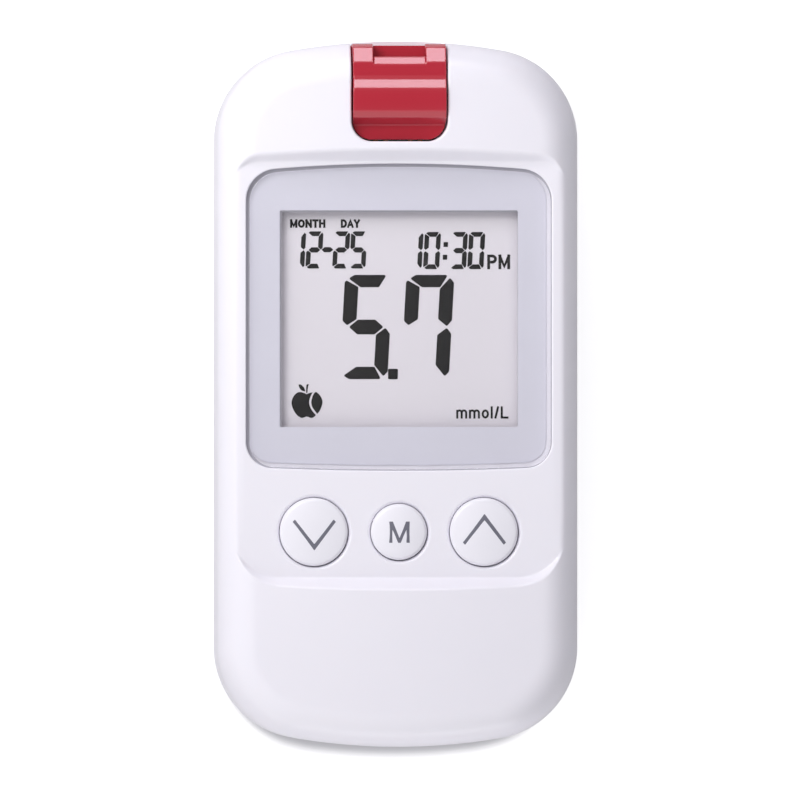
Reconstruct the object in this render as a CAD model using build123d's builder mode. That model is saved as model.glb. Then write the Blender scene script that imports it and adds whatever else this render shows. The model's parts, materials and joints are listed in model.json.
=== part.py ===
from build123d import *
import os

# Blood glucose meter: a two-shell case with a sunken tray for the display and three buttons,
# a sliding strip ejector over the test-strip port, and a hinged door over two AAA cells.
# Millimetres. +X to the right of the display, +Y towards the strip port, +Z out of the
# display. The origin is under the middle of the case, on the plane that it rests on.

# ---------------------------------------------------------------- case
body_width = 47.0
body_length = 92.0
end_radius = 80.0           # the two bowed ends
corner_radius = 12.0        # the four plan corners
edge_radius = 5.0           # front edge, all round
rear_edge_radius = 4.0      # rear edge, all round
crown_radius = 190.0        # cross-wise crown of the hood and the chin
wall = 1.6
parting_height = 9.0        # where the two shells meet
seam_chamfer = 0.15
lip_thickness = 0.7         # tongue on the rear shell that enters the front shell
lip_height = 1.2
fit_gap = 0.1               # between parts that are fitted and stay still
slide_gap = 0.2             # between parts that move past each other
pin_gap = 0.05              # round a shaft, all round

# ---------------------------------------------------------------- tray, lens and display
tray_depth = 2.0            # how far the tray lies under the crown's top line
tray_top_radius = 120.0     # bow of the step at the hood
tray_bottom_radius = 150.0  # bow of the step at the chin
tray_hood_corner = 3.0
tray_chin_corner = 6.0
tray_side = 22.2            # half width of the tray's cut, past the shoulders of the case
step_run = 1.6              # how far each step leans back over its height
lens_side_margin = 3.7      # case side to lens
chin_length = 22.0          # tip of the case to the foot of the chin's step
lens_top_margin = 0.3       # lens pocket to the foot of the hood's step
lens_top_radius = 190.0
lens_bottom_radius = 400.0
lens_top_corner = 4.0
lens_bottom_corner = 3.3
lens_thickness = 1.0
lens_sink = 0.05            # lens face under the tray
lens_gap = 0.15             # round the lens in its pocket
mask_thickness = 0.15
mask_side = 4.26            # silver frame beside the display window
mask_top = 5.95
mask_bottom = 5.55
mask_corner = 0.5
window_rebate = 1.0         # the cover's opening is larger than the mask's by this, all round
ledge_thickness = 1.2       # under the lens
display_gap = 0.2           # ledge to display glass
cell_glass = 0.7            # each of the display's two glass plates
display_border = 1.5        # glass past the window
contact_ledge = 2.6         # strip of the front glass that carries the contacts
reflector_thickness = 0.2
holder_floor = 0.5
holder_wall = 1.2
zebra_width = 1.8
zebra_end_gap = 1.5

# ---------------------------------------------------------------- buttons
side_button_radius = 4.45
middle_button_radius = 3.67
button_pitch = 11.1
button_drop = 8.15          # lens bottom edge to the buttons' row
button_travel = 0.4
button_rise = 0.3           # rim of a cap over the tray
button_dome = 0.6           # crown of a cap over its rim
flange_width = 0.8
flange_thickness = 1.0
stem_radius = 1.5
switch_width = 4.5
switch_height = 1.2
switch_corner = 0.2
plunger_radius = 1.1
plunger_height = 1.6        # top of the plunger over the board
plunger_foot = 0.6          # bottom of the plunger over the board
chin_margin = 6.0           # buttons' row to the foot of the chin's step

# ---------------------------------------------------------------- strip ejector and port
slider_width = 12.2
slider_length = 12.5
slider_corner = 2.5
slider_end_gap = 0.37       # slider to the tip of the case
slider_to_tray = 2.8        # hood between the slider and the tray
slider_travel = 4.0
deck_sink = 0.45            # the slider's flat front part, under the crown's top line
ridge_rise = 0.5            # its finger ridge, over the crown's top line
ridge_shoulder = 0.1        # ridge's front edge under its crest
ridge_lip = 0.6             # ridge's rear edge under its crest
toe_sink = 2.7              # its front end, under the crown's top line
toe_edge_back = 0.4         # edge between its steep end and its slanted toe, behind the front end
toe_edge_sink = 1.15        # and under the flat front part
toe_length = 2.4            # places along the slider, from its front end
deck_end = 4.4
ridge_start = 5.8
ridge_crest = 7.3
ridge_end = 8.8
ridge_edge = 9.6
slope_end = 10.5
notch_width = 6.8
notch_depth = 1.65
notch_bevel = 1.05
notch_bevel_drop = 0.6
rail_wall = 1.2             # walls of the slider's channel
carriage_thickness = 0.8
carriage_length = 3.6
carriage_wing = 1.65        # how far the carriage reaches past the slider on each side
wing_length = 2.0
peg_radius = 0.7
peg_spacing = 7.0
finger_width = 1.6
finger_thickness = 1.0
strip_thickness = 0.8       # the strip's slot
strip_slot_width = 7.4
strip_slot_floor = 0.5      # slot over the board
connector_width = 10.0
connector_length = 8.0
connector_height = 1.9
guide_length = 4.2
port_lip = 0.2              # guide's mouth behind the slider's tip
mouth_flare = 0.8
contact_inner_x = 1.6       # the four contact leaves, two on each side of the finger
contact_outer_x = 2.9
contact_width = 0.6
contact_thickness = 0.16
leaf_dip = 0.45             # how far a leaf reaches into the strip's slot
leaf_run = 2.6              # length of a leaf's slope
leaf_groove = 0.4           # depth of a leaf's groove over the strip's slot
leaf_tail_gap = 0.48        # connector to the middle of a leaf's tail
spring_radius = 1.2         # ejector spring, to the middle of its wire
spring_wire = 0.175
spring_turns = 7
spring_offset = 10.0        # from the case's middle
spring_stop_y = 2.8         # case tip to the rib that the spring pushes on
spring_pin_radius = 0.8
spring_pin_length = 2.0
spring_seat_half = 1.6      # half width of the rib and of the carriage's lug
spring_clearance = 0.2      # spring, rib and lug over the board

# ---------------------------------------------------------------- board
board_thickness = 1.0
board_side_gap = 4.5        # case side to board
board_end_gap = 5.0         # case tip to board, at the port
board_corner = 5.0
board_tail = 8.0            # case tip to board, at the chin
chip_width = 7.0
chip_height = 1.2
chip_leg = 0.3
buzzer_radius = 5.0
buzzer_height = 2.4
buzzer_hole = 0.8
chin_parts_x = 8.5          # chip and buzzer, each side of the middle
chin_parts_end = 15.0       # case tip to the middle of the chip and the buzzer
small_part_length = 2.0
small_part_width = 1.25
small_part_height = 0.8
small_part_pitch = 4.2
small_part_count = 5
small_part_drop = 5.6       # buttons' row to the row of small parts
leg_pitch = 1.0
leg_count = 6
leg_width = 0.4
leg_thickness = 0.15
leg_height = 0.3

# ---------------------------------------------------------------- cells, bay and door
cell_diameter = 10.5
cell_length = 44.5
nub_radius = 1.9
nub_length = 0.8
cell_gap = 0.6              # between the two cells
bay_gap = 0.2               # round the cells
bay_wall = 1.2
bay_roof = 0.6
board_clearance = 0.2       # bay roof to board
contact_plate = 0.3
plate_width = 8.4
plate_height = 7.6
spring_length = 3.2         # cell springs, as fitted
cell_spring_radius = 2.4
cell_spring_wire = 0.25
cell_spring_turns = 3
coil_root = 0.125           # how far a coil's first turn enters its plate
tail_width = 1.6            # tails that take the terminals up to the board
hinge_from_tip = 9.0        # case tip to the door's hinge
hinge_pin_radius = 0.8
hinge_pin_length = 0.9
hinge_ear_radius = 1.3
hinge_ear_width = 0.8
door_gap = 0.25
door_side_gap = 0.15
latch_thickness = 1.0
latch_height = 4.4
latch_width = 9.0
latch_gap = 0.5
latch_lap = 0.6
dish_radius = 14.0
dish_depth = 0.9

# ---------------------------------------------------------------- screws
case_screw_side = 6.3       # case side to a screw
case_screw_end = 12.5       # case tip to a screw
screw_radius = 1.0
screw_head_radius = 1.9
screw_head_height = 1.5
screw_length = 11.0         # under the head
head_seat = 3.0             # height of the seat over the rear face
head_gap = 0.2
boss_wall = 1.2
head_wall = 0.6             # round the way of a screw's head
board_screw_radius = 0.8
board_screw_head = 1.6
board_screw_head_height = 0.6
board_screw_length = 3.6
board_boss_radius = 1.7
board_screw_side = 2.8      # lens side to a board screw
board_screw_low = 2.0       # lens bottom edge to the lower board screws
board_screw_high = 1.2      # lens top edge to the upper board screws
recess_width = 0.5          # arms of the screws' crosses
recess_span = 0.65          # arms of the crosses, as a share of the head's diameter
recess_depth = 0.5          # as a share of the head's height

# ================================================================ worked out
half_width = body_width / 2
half_length = body_length / 2

# Heights, from the plane that the meter rests on
cell_axis_z = wall + bay_gap + cell_diameter / 2
roof_z = wall + 2 * bay_gap + cell_diameter
board_z = roof_z + bay_roof + board_clearance
board_top = board_z + board_thickness
reflector_z = board_top + holder_floor
rear_glass_z = reflector_z + reflector_thickness
front_glass_z = rear_glass_z + cell_glass
display_top = front_glass_z + cell_glass
ledge_z = display_top + display_gap
pocket_z = ledge_z + ledge_thickness
lens_z = pocket_z + mask_thickness
tray_z = lens_z + lens_thickness + lens_sink
body_height = tray_z + tray_depth
plate_z = tray_z - wall

# Places along Y: from the port end down to the lens, then from the chin up to it
slider_front_y = half_length - slider_end_gap
slider_rear_y = slider_front_y - slider_length
tray_top_y = slider_rear_y - slider_to_tray
lens_top_y = tray_top_y - lens_gap - lens_top_margin
tray_bottom_y = chin_length - half_length
button_y = tray_bottom_y + chin_margin
lens_bottom_y = button_y + button_drop
lens_half_width = half_width - lens_side_margin
window_top_y = lens_top_y - mask_top
window_bottom_y = lens_bottom_y + mask_bottom
window_half_width = lens_half_width - mask_side
window_y = (window_top_y + window_bottom_y) / 2
window_height = window_top_y - window_bottom_y
glass_half_width = window_half_width + display_border
glass_top_y = window_top_y + display_border
rear_glass_bottom_y = window_bottom_y - display_border
front_glass_bottom_y = rear_glass_bottom_y - contact_ledge

# Port, from the slider down to the board
guide_z = board_z - fit_gap
connector_top = board_top + connector_height
strip_z = board_top + strip_slot_floor
carriage_z = connector_top + slide_gap
slider_z = carriage_z + carriage_thickness
rail_z = slider_z + slide_gap
carriage_rear_y = slider_rear_y + slide_gap
carriage_front_y = carriage_rear_y + carriage_length
guide_front_y = slider_front_y - port_lip
guide_rear_y = guide_front_y - guide_length
connector_front_y = guide_rear_y - fit_gap
connector_rear_y = connector_front_y - connector_length
guide_top = slider_z - slide_gap
channel_half_width = slider_width / 2 + slide_gap
guide_half_width = channel_half_width - fit_gap
slider_floor_z = tray_z
slider_deck_z = body_height - deck_sink
slider_ridge_z = body_height + ridge_rise
slider_toe_z = body_height - toe_sink
finger_y = carriage_rear_y + fit_gap
strip_end_y = finger_y + finger_thickness + pin_gap
spring_outer = spring_radius + spring_wire
spring_base_z = board_top + spring_clearance
spring_z = spring_base_z + spring_outer
spring_start_y = finger_y + finger_thickness
spring_end_y = half_length - spring_stop_y

# Cells and door
cell_x = (cell_diameter + cell_gap) / 2
bay_half_width = cell_x + cell_diameter / 2 + bay_gap
hinge_y = hinge_from_tip - half_length
hinge_z = wall
bay_bottom_y = hinge_y + hinge_pin_radius
cells_start_y = bay_bottom_y + contact_plate
cells_span = spring_length + cell_length + 2 * fit_gap
bay_top_y = cells_start_y + cells_span + contact_plate
tail_y = bay_top_y - contact_plate / 2
latch_y = bay_top_y + bay_wall + latch_gap
door_top_y = latch_y + latch_thickness + latch_lap
opening_top_y = door_top_y + door_gap
opening_bottom_y = hinge_y - hinge_z - door_gap
door_half_width = bay_half_width - door_side_gap
hinge_head_room = hinge_z + hinge_z + door_gap + slide_gap
bore_half_span = bay_half_width + hinge_pin_length + fit_gap

# Screws
case_screw_x = half_width - case_screw_side
case_screw_y = half_length - case_screw_end
board_screw_x = lens_half_width - board_screw_side
case_screw_points = [
    (x, y)
    for x in (-case_screw_x, case_screw_x)
    for y in (-case_screw_y, case_screw_y)
]
board_screw_points = [
    (x, y)
    for x in (-board_screw_x, board_screw_x)
    for y in (lens_bottom_y - board_screw_low, lens_top_y - board_screw_high)
]
boss_radius = screw_radius + boss_wall
rear_boss_radius = screw_head_radius + head_gap + head_wall
pilot_depth = head_seat + screw_length + fit_gap


# ================================================================ shared forms
def case_plan(inset):
    """The case's plan, drawn in by inset all round."""
    with BuildSketch() as plan:
        Rectangle(body_width, body_length)
        with Locations((0, half_length - end_radius)):
            Circle(end_radius, mode=Mode.INTERSECT)
        with Locations((0, end_radius - half_length)):
            Circle(end_radius, mode=Mode.INTERSECT)
        fillet(plan.vertices(), corner_radius)
        if inset:
            offset(amount=-inset)
    return plan.sketch


def front_block(inset):
    """The front half of the case as a solid, crowned across, drawn in by inset."""
    with BuildPart() as block:
        with BuildSketch(Plane.XY.offset(parting_height)):
            add(case_plan(inset))
        extrude(amount=body_height - parting_height)
        with BuildSketch(Plane.XZ.offset(-body_length)):
            with Locations((0, body_height - crown_radius)):
                Circle(crown_radius - inset)
        extrude(amount=2 * body_length, mode=Mode.INTERSECT)
        fillet(block.faces().sort_by(Axis.Z)[-1].edges(), edge_radius - inset)
    return block.part


def rear_block(inset):
    """The rear half of the case as a solid, drawn in by inset."""
    with BuildPart() as block:
        with BuildSketch(Plane.XY.offset(inset)):
            add(case_plan(inset))
        extrude(amount=parting_height - inset)
        fillet(block.faces().sort_by(Axis.Z)[0].edges(), rear_edge_radius - inset)
    return block.part


def bowed_plan(half, top, bottom, top_bow, bottom_bow, top_corner, bottom_corner):
    """A rectangle whose upper and lower edges bow outwards, with rounded corners."""
    with BuildSketch() as plan:
        with Locations((0, (top + bottom) / 2)):
            Rectangle(2 * half, top - bottom)
        with Locations((0, top - top_bow)):
            Circle(top_bow, mode=Mode.INTERSECT)
        with Locations((0, bottom + bottom_bow)):
            Circle(bottom_bow, mode=Mode.INTERSECT)
        fillet(plan.vertices().group_by(Axis.Y)[-1], top_corner)
        fillet(plan.vertices().group_by(Axis.Y)[0], bottom_corner)
    return plan.sketch


def tray_plan(grow):
    """The tray's plan at its foot, or drawn out by grow further up the steps."""
    return bowed_plan(
        tray_side + grow,
        tray_top_y + grow,
        tray_bottom_y - grow,
        tray_top_radius + grow,
        tray_bottom_radius + grow,
        tray_hood_corner + grow,
        tray_chin_corner + grow,
    )


def lens_plan(grow):
    """The lens's plan, or drawn out by grow."""
    return bowed_plan(
        lens_half_width + grow,
        lens_top_y + grow,
        lens_bottom_y - grow,
        lens_top_radius + grow,
        lens_bottom_radius + grow,
        lens_top_corner + grow,
        lens_bottom_corner + grow,
    )


def channel_plan(grow, front_y):
    """The slider's plan with its two rounded rear corners, drawn out by grow, up to front_y."""
    half = slider_width / 2 + grow
    rear = slider_rear_y - grow
    with BuildSketch() as plan:
        with Locations((0, (front_y + rear) / 2)):
            Rectangle(2 * half, front_y - rear)
        fillet(plan.vertices().group_by(Axis.Y)[0], slider_corner + grow)
    return plan.sketch


def coil(start, direction, radius, wire, length, turns):
    """A round-wire spring that starts at a point and runs along a direction."""
    with BuildPart() as spring:
        with BuildLine() as route:
            Helix(
                pitch=length / turns,
                height=length,
                radius=radius,
                center=start,
                direction=direction,
            )
        with BuildSketch(Plane(origin=route.line @ 0, z_dir=route.line % 0)):
            Circle(wire)
        sweep(is_frenet=True)
    return spring.part


def save(piece, name):
    """Labels a finished piece and writes it under its own name."""
    piece.label = name
    export_step(piece, f"parts/{name}.step")


# Solids shared by the front cover and what it holds
front_inner = front_block(wall)
rear_inner = rear_block(wall)
with BuildPart() as front_form:
    add(front_block(0))
    chamfer(front_form.faces().sort_by(Axis.Z)[0].edges(), seam_chamfer)
with BuildPart() as rear_form:
    add(rear_block(0))
    chamfer(rear_form.faces().sort_by(Axis.Z)[-1].edges(), seam_chamfer)
step_height = tray_depth + fit_gap
step_reach = step_run * step_height / tray_depth

with BuildPart() as tray_cut:
    with BuildSketch(Plane.XY.offset(tray_z)):
        add(tray_plan(0))
    with BuildSketch(Plane.XY.offset(tray_z + step_height)):
        add(tray_plan(step_reach))
    loft(ruled=True)

with BuildPart() as front_hollow:
    add(front_inner)
    with BuildSketch(Plane.XY.offset(plate_z)):
        add(tray_plan(wall))
    extrude(amount=body_height, mode=Mode.SUBTRACT)

# Walls of the slider's channel, the ejector spring's stop and the screw bosses, all kept
# inside the case's outer form and out of the tray
with BuildPart() as inner_fittings:
    with BuildSketch(Plane.XY.offset(rail_z)):
        add(channel_plan(slide_gap + rail_wall, half_length))
    extrude(amount=body_height - rail_z)
    with BuildSketch(Plane.XY.offset(spring_base_z)):
        with Locations((spring_offset, (spring_end_y + half_length) / 2)):
            Rectangle(2 * spring_seat_half, half_length - spring_end_y)
    extrude(amount=rail_z - spring_base_z)
    with BuildSketch(Plane.XY.offset(parting_height + fit_gap)):
        with Locations(*case_screw_points):
            Circle(boss_radius)
    extrude(amount=body_height - parting_height)
    add(front_form.part, mode=Mode.INTERSECT)
    with BuildSketch(Plane.XY.offset(tray_z)):
        add(tray_plan(0))
    extrude(amount=body_height, mode=Mode.SUBTRACT)

# Frame under the tray that carries the lens
with BuildPart() as lens_ledge:
    with BuildSketch(Plane.XY.offset(ledge_z)):
        add(lens_plan(lens_gap + fit_gap))
    extrude(amount=plate_z - ledge_z)

button_sizes = {
    "down": (-button_pitch, side_button_radius),
    "memory": (0.0, middle_button_radius),
    "up": (button_pitch, side_button_radius),
}

# ================================================================ front cover
with BuildPart() as front_cover:
    add(front_form.part)
    add(tray_cut.part, mode=Mode.SUBTRACT)
    add(front_hollow.part, mode=Mode.SUBTRACT)
    # rebate for the rear cover's lip
    with BuildSketch(Plane.XY.offset(parting_height)):
        add(case_plan(wall - lip_thickness - fit_gap))
    extrude(amount=lip_height + fit_gap, mode=Mode.SUBTRACT)
    # bosses for the board, then the fittings and the frame under the lens
    with BuildSketch(Plane.XY.offset(board_top)):
        with Locations(*board_screw_points):
            Circle(board_boss_radius)
    extrude(amount=plate_z - board_top)
    add(lens_ledge.part)
    add(inner_fittings.part)
    # lens pocket and the opening under it
    with BuildSketch(Plane.XY.offset(pocket_z)):
        add(lens_plan(lens_gap))
    extrude(amount=tray_depth + lens_thickness, mode=Mode.SUBTRACT)
    with BuildSketch(Plane.XY.offset(board_top)):
        with Locations((0, window_y)):
            RectangleRounded(
                2 * (window_half_width + window_rebate),
                window_height + 2 * window_rebate,
                mask_corner + window_rebate,
            )
    extrude(amount=body_height - board_top, mode=Mode.SUBTRACT)
    # button holes
    with BuildSketch(Plane.XY.offset(board_top)):
        for hole_x, cap_radius in button_sizes.values():
            with Locations((hole_x, button_y)):
                Circle(cap_radius + slide_gap)
    extrude(amount=body_height - board_top, mode=Mode.SUBTRACT)
    # slider channel, open at the tip of the case, with the port under it
    with BuildSketch(Plane.XY.offset(guide_z - fit_gap)):
        add(channel_plan(slide_gap, body_length))
    extrude(amount=body_height, mode=Mode.SUBTRACT)
    # pilot holes
    with BuildSketch(Plane.XY.offset(parting_height)):
        with Locations(*case_screw_points):
            Circle(screw_radius + pin_gap)
    extrude(amount=pilot_depth - parting_height, mode=Mode.SUBTRACT)
    with BuildSketch(Plane.XY.offset(board_top)):
        with Locations(*board_screw_points):
            Circle(board_screw_radius + pin_gap)
    extrude(amount=board_screw_length - board_thickness + fit_gap, mode=Mode.SUBTRACT)
save(front_cover.part, "front_cover")

# ================================================================ rear cover
with BuildPart() as rear_cover:
    add(rear_form.part)
    add(rear_inner, mode=Mode.SUBTRACT)
    # lip that enters the front cover
    with BuildSketch(Plane.XY.offset(parting_height - wall)):
        add(case_plan(wall - lip_thickness))
        add(case_plan(wall), mode=Mode.SUBTRACT)
    extrude(amount=wall + lip_height)
    # screw bosses with seats for the heads
    with BuildSketch(Plane.XY.offset(wall / 2)):
        with Locations(*case_screw_points):
            Circle(rear_boss_radius)
    extrude(amount=parting_height - wall / 2)
    # battery bay: side walls and roof, then the two end walls
    with BuildSketch(Plane.XY.offset(wall / 2)):
        with Locations((0, (opening_top_y + opening_bottom_y) / 2)):
            Rectangle(
                2 * (bay_half_width + bay_wall),
                opening_top_y - opening_bottom_y + 2 * bay_wall,
            )
    extrude(amount=roof_z + bay_roof - wall / 2)
    with BuildSketch():
        with Locations((0, (opening_top_y + opening_bottom_y) / 2)):
            Rectangle(2 * bay_half_width, opening_top_y - opening_bottom_y)
    extrude(amount=roof_z, mode=Mode.SUBTRACT)
    with BuildSketch(Plane.XY.offset(hinge_head_room)):
        with Locations((0, bay_bottom_y - bay_wall / 2)):
            Rectangle(2 * bay_half_width, bay_wall)
    extrude(amount=roof_z - hinge_head_room)
    with BuildSketch(Plane.XY.offset(wall + slide_gap)):
        with Locations((0, bay_top_y + bay_wall / 2)):
            Rectangle(2 * bay_half_width, bay_wall)
    extrude(amount=roof_z - wall - slide_gap)
    # hinge bores in the bay's side walls
    with BuildSketch(Plane.YZ.offset(-bore_half_span)):
        with Locations((hinge_y, hinge_z)):
            Circle(hinge_pin_radius + pin_gap)
    extrude(amount=2 * bore_half_span, mode=Mode.SUBTRACT)
    # screw ways
    with BuildSketch():
        with Locations(*case_screw_points):
            Circle(screw_head_radius + head_gap)
    extrude(amount=head_seat, mode=Mode.SUBTRACT)
    with BuildSketch():
        with Locations(*case_screw_points):
            Circle(screw_radius + head_gap)
    extrude(amount=parting_height + lip_height, mode=Mode.SUBTRACT)
    # slots in the bay's roof for the terminals' tails
    with BuildSketch(Plane.XY.offset(roof_z)):
        with Locations((-cell_x, tail_y), (cell_x, tail_y)):
            Rectangle(tail_width + 2 * fit_gap, contact_plate + 2 * fit_gap)
    extrude(amount=bay_roof, mode=Mode.SUBTRACT)
    # finger dish beside the door's latch
    with Locations((0, opening_top_y, dish_depth - dish_radius)):
        Sphere(dish_radius, mode=Mode.SUBTRACT)
save(rear_cover.part, "rear_cover")

# ================================================================ lens, mask and display
with BuildPart() as display_lens:
    with BuildSketch(Plane.XY.offset(lens_z)):
        add(lens_plan(0))
    extrude(amount=lens_thickness)
save(display_lens.part, "display_lens")

with BuildPart() as lens_mask:
    with BuildSketch(Plane.XY.offset(pocket_z)):
        add(lens_plan(0))
        with Locations((0, window_y)):
            RectangleRounded(2 * window_half_width, window_height, mask_corner, mode=Mode.SUBTRACT)
    extrude(amount=mask_thickness)
save(lens_mask.part, "lens_mask")

# The liquid crystal cell: a large front glass with a smaller one laminated behind it
with BuildPart() as lcd_glass:
    with BuildSketch(Plane.XY.offset(front_glass_z)):
        with Locations((0, (glass_top_y + front_glass_bottom_y) / 2)):
            Rectangle(2 * glass_half_width, glass_top_y - front_glass_bottom_y)
    extrude(amount=cell_glass)
    with BuildSketch(Plane.XY.offset(rear_glass_z)):
        with Locations((0, (glass_top_y + rear_glass_bottom_y) / 2)):
            Rectangle(2 * glass_half_width, glass_top_y - rear_glass_bottom_y)
    extrude(amount=cell_glass)
save(lcd_glass.part, "lcd_glass")

with BuildPart() as lcd_reflector:
    with BuildSketch(Plane.XY.offset(reflector_z)):
        with Locations((0, (glass_top_y + rear_glass_bottom_y) / 2)):
            Rectangle(2 * glass_half_width, glass_top_y - rear_glass_bottom_y)
    extrude(amount=reflector_thickness)
save(lcd_reflector.part, "lcd_reflector")

zebra_y = (front_glass_bottom_y + rear_glass_bottom_y) / 2
with BuildPart() as zebra_strip:
    with BuildSketch(Plane.XY.offset(board_top)):
        with Locations((0, zebra_y)):
            Rectangle(2 * (glass_half_width - zebra_end_gap), zebra_width)
    extrude(amount=front_glass_z - board_top)
save(zebra_strip.part, "zebra_strip")

# Frame round the display, with a slot for the zebra strip in its floor
with BuildPart() as lcd_holder:
    with BuildSketch(Plane.XY.offset(board_top)):
        with Locations((0, (glass_top_y + front_glass_bottom_y) / 2)):
            Rectangle(
                2 * (glass_half_width + fit_gap + holder_wall),
                glass_top_y - front_glass_bottom_y + 2 * (fit_gap + holder_wall),
            )
    extrude(amount=display_top - board_top)
    with BuildSketch(Plane.XY.offset(reflector_z)):
        with Locations((0, (glass_top_y + front_glass_bottom_y) / 2)):
            Rectangle(
                2 * (glass_half_width + fit_gap),
                glass_top_y - front_glass_bottom_y + 2 * fit_gap,
            )
    extrude(amount=display_top - reflector_z, mode=Mode.SUBTRACT)
    with BuildSketch(Plane.XY.offset(board_top)):
        with Locations((0, zebra_y)):
            Rectangle(
                2 * (glass_half_width - zebra_end_gap + fit_gap),
                zebra_width + 2 * fit_gap,
            )
    extrude(amount=holder_floor, mode=Mode.SUBTRACT)
save(lcd_holder.part, "lcd_holder")

# ================================================================ buttons and switches
rim_z = tray_z + button_rise
flange_z = plate_z - slide_gap - flange_thickness
for name, (cap_x, cap_radius) in button_sizes.items():
    dome_radius = (cap_radius**2 + button_dome**2) / (2 * button_dome)
    # cap: a flange under the cover, a domed head through the hole and a stem on the switch
    with BuildPart() as cap:
        with BuildSketch(Plane.XY.offset(flange_z)):
            with Locations((cap_x, button_y)):
                Circle(cap_radius + flange_width)
        extrude(amount=flange_thickness)
        with BuildSketch(Plane.XY.offset(flange_z)):
            with Locations((cap_x, button_y)):
                Circle(cap_radius)
        extrude(amount=rim_z + button_dome - flange_z)
        with BuildSketch(Plane.XY.offset(board_top + plunger_height)):
            with Locations((cap_x, button_y)):
                Circle(stem_radius)
        extrude(amount=flange_z - board_top - plunger_height)
        with Locations((cap_x, button_y, rim_z + button_dome - dome_radius)):
            Sphere(dome_radius, mode=Mode.INTERSECT)
    save(cap.part, f"{name}_button")

    with BuildPart() as switch:
        with BuildSketch(Plane.XY.offset(board_top)):
            with Locations((cap_x, button_y)):
                Rectangle(switch_width, switch_width)
        extrude(amount=switch_height)
        chamfer(switch.edges().filter_by(Axis.Z), switch_corner)
        with BuildSketch(Plane.XY.offset(board_top + plunger_foot - button_travel - fit_gap)):
            with Locations((cap_x, button_y)):
                Circle(plunger_radius + pin_gap)
        extrude(amount=switch_height, mode=Mode.SUBTRACT)
    save(switch.part, f"{name}_switch")

    with BuildPart() as plunger:
        with BuildSketch(Plane.XY.offset(board_top + plunger_foot)):
            with Locations((cap_x, button_y)):
                Circle(plunger_radius)
        extrude(amount=plunger_height - plunger_foot)
    save(plunger.part, f"{name}_plunger")

# ================================================================ strip ejector
# The slider's side profile, from its slanted toe back over the finger ridge to its low floor
peg_points = [(x, carriage_rear_y + carriage_length / 2) for x in (-peg_spacing / 2, peg_spacing / 2)]
peg_height = (slider_floor_z - slider_z) / 2
toe = (slider_front_y, slider_toe_z)
deck_front = (slider_front_y - toe_length, slider_deck_z)
toe_edge = (slider_front_y - toe_edge_back, slider_deck_z - toe_edge_sink)
deck_rear = (slider_front_y - deck_end, slider_deck_z)
ridge_front = (slider_front_y - ridge_start, slider_ridge_z - ridge_shoulder)
ridge_top = (slider_front_y - ridge_crest, slider_ridge_z)
ridge_rear = (slider_front_y - ridge_end, slider_ridge_z - ridge_shoulder)
ridge_foot = (slider_front_y - ridge_edge, slider_ridge_z - ridge_lip)
floor_front = (slider_front_y - slope_end, slider_floor_z)
notch_y = slider_front_y - notch_depth
with BuildPart() as eject_slider:
    with BuildSketch(Plane.YZ.offset(-slider_width / 2)):
        with BuildLine():
            Polyline(toe, toe_edge, deck_front, deck_rear, ridge_front)
            ThreePointArc(ridge_front, ridge_top, ridge_rear)
            Polyline(
                ridge_rear,
                ridge_foot,
                floor_front,
                (slider_rear_y, slider_floor_z),
                (slider_rear_y, slider_z),
                (slider_front_y, slider_z),
                toe,
            )
        make_face()
    extrude(amount=slider_width)
    with BuildSketch(Plane.XY.offset(slider_z)):
        add(channel_plan(0, body_length))
    extrude(amount=body_height, mode=Mode.INTERSECT)
    # notch over the strip's mouth
    with BuildSketch(Plane.XY.offset(slider_z)):
        with Locations((0, slider_front_y)):
            Rectangle(notch_width, 2 * notch_depth)
    extrude(amount=body_height, mode=Mode.SUBTRACT)
    # bevel at the notch's rear edge
    with BuildSketch(Plane.YZ.offset(-notch_width / 2)):
        with BuildLine():
            Polyline(
                (notch_y, slider_deck_z - notch_bevel_drop),
                (notch_y - notch_bevel, slider_deck_z),
                (notch_y - notch_bevel, slider_ridge_z),
                (notch_y, slider_ridge_z),
                close=True,
            )
        make_face()
    extrude(amount=notch_width, mode=Mode.SUBTRACT)
    # holes for the carriage's pegs
    with BuildSketch(Plane.XY.offset(slider_z)):
        with Locations(*peg_points):
            Circle(peg_radius + pin_gap)
    extrude(amount=peg_height + fit_gap, mode=Mode.SUBTRACT)
save(eject_slider.part, "eject_slider")

# Carriage under the slider, with the finger that pushes the strip out
wing_inner_x = slider_width / 2 + 2 * slide_gap
wing_outer_x = slider_width / 2 + carriage_wing
wing_x = (wing_inner_x + wing_outer_x) / 2
wing_y = carriage_front_y + wing_length / 2
with BuildPart() as strip_pusher:
    with BuildSketch(Plane.XY.offset(carriage_z)):
        with Locations((0, carriage_rear_y + carriage_length / 2)):
            Rectangle(2 * wing_outer_x, carriage_length)
        with Locations((-wing_x, wing_y), (wing_x, wing_y)):
            Rectangle(wing_outer_x - wing_inner_x, wing_length)
        with Locations(((wing_inner_x + spring_offset) / 2, finger_y + finger_thickness / 2)):
            Rectangle(spring_offset - wing_inner_x, finger_thickness)
    extrude(amount=carriage_thickness)
    # pegs up into the slider
    with BuildSketch(Plane.XY.offset(slider_z)):
        with Locations(*peg_points):
            Circle(peg_radius)
    extrude(amount=peg_height)
    # finger down to the strip
    with BuildSketch(Plane.XY.offset(strip_z + fit_gap)):
        with Locations((0, finger_y + finger_thickness / 2)):
            Rectangle(finger_width, finger_thickness)
    extrude(amount=carriage_z - strip_z)
    # lug and pin for the spring
    with BuildSketch(Plane.XY.offset(spring_base_z)):
        with Locations((spring_offset, finger_y + finger_thickness / 2)):
            Rectangle(2 * spring_seat_half, finger_thickness)
    extrude(amount=slider_z - spring_base_z)
    with BuildSketch(Plane.XZ.offset(-spring_start_y)):
        with Locations((spring_offset, spring_z)):
            Circle(spring_pin_radius)
    extrude(amount=-spring_pin_length)
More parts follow.
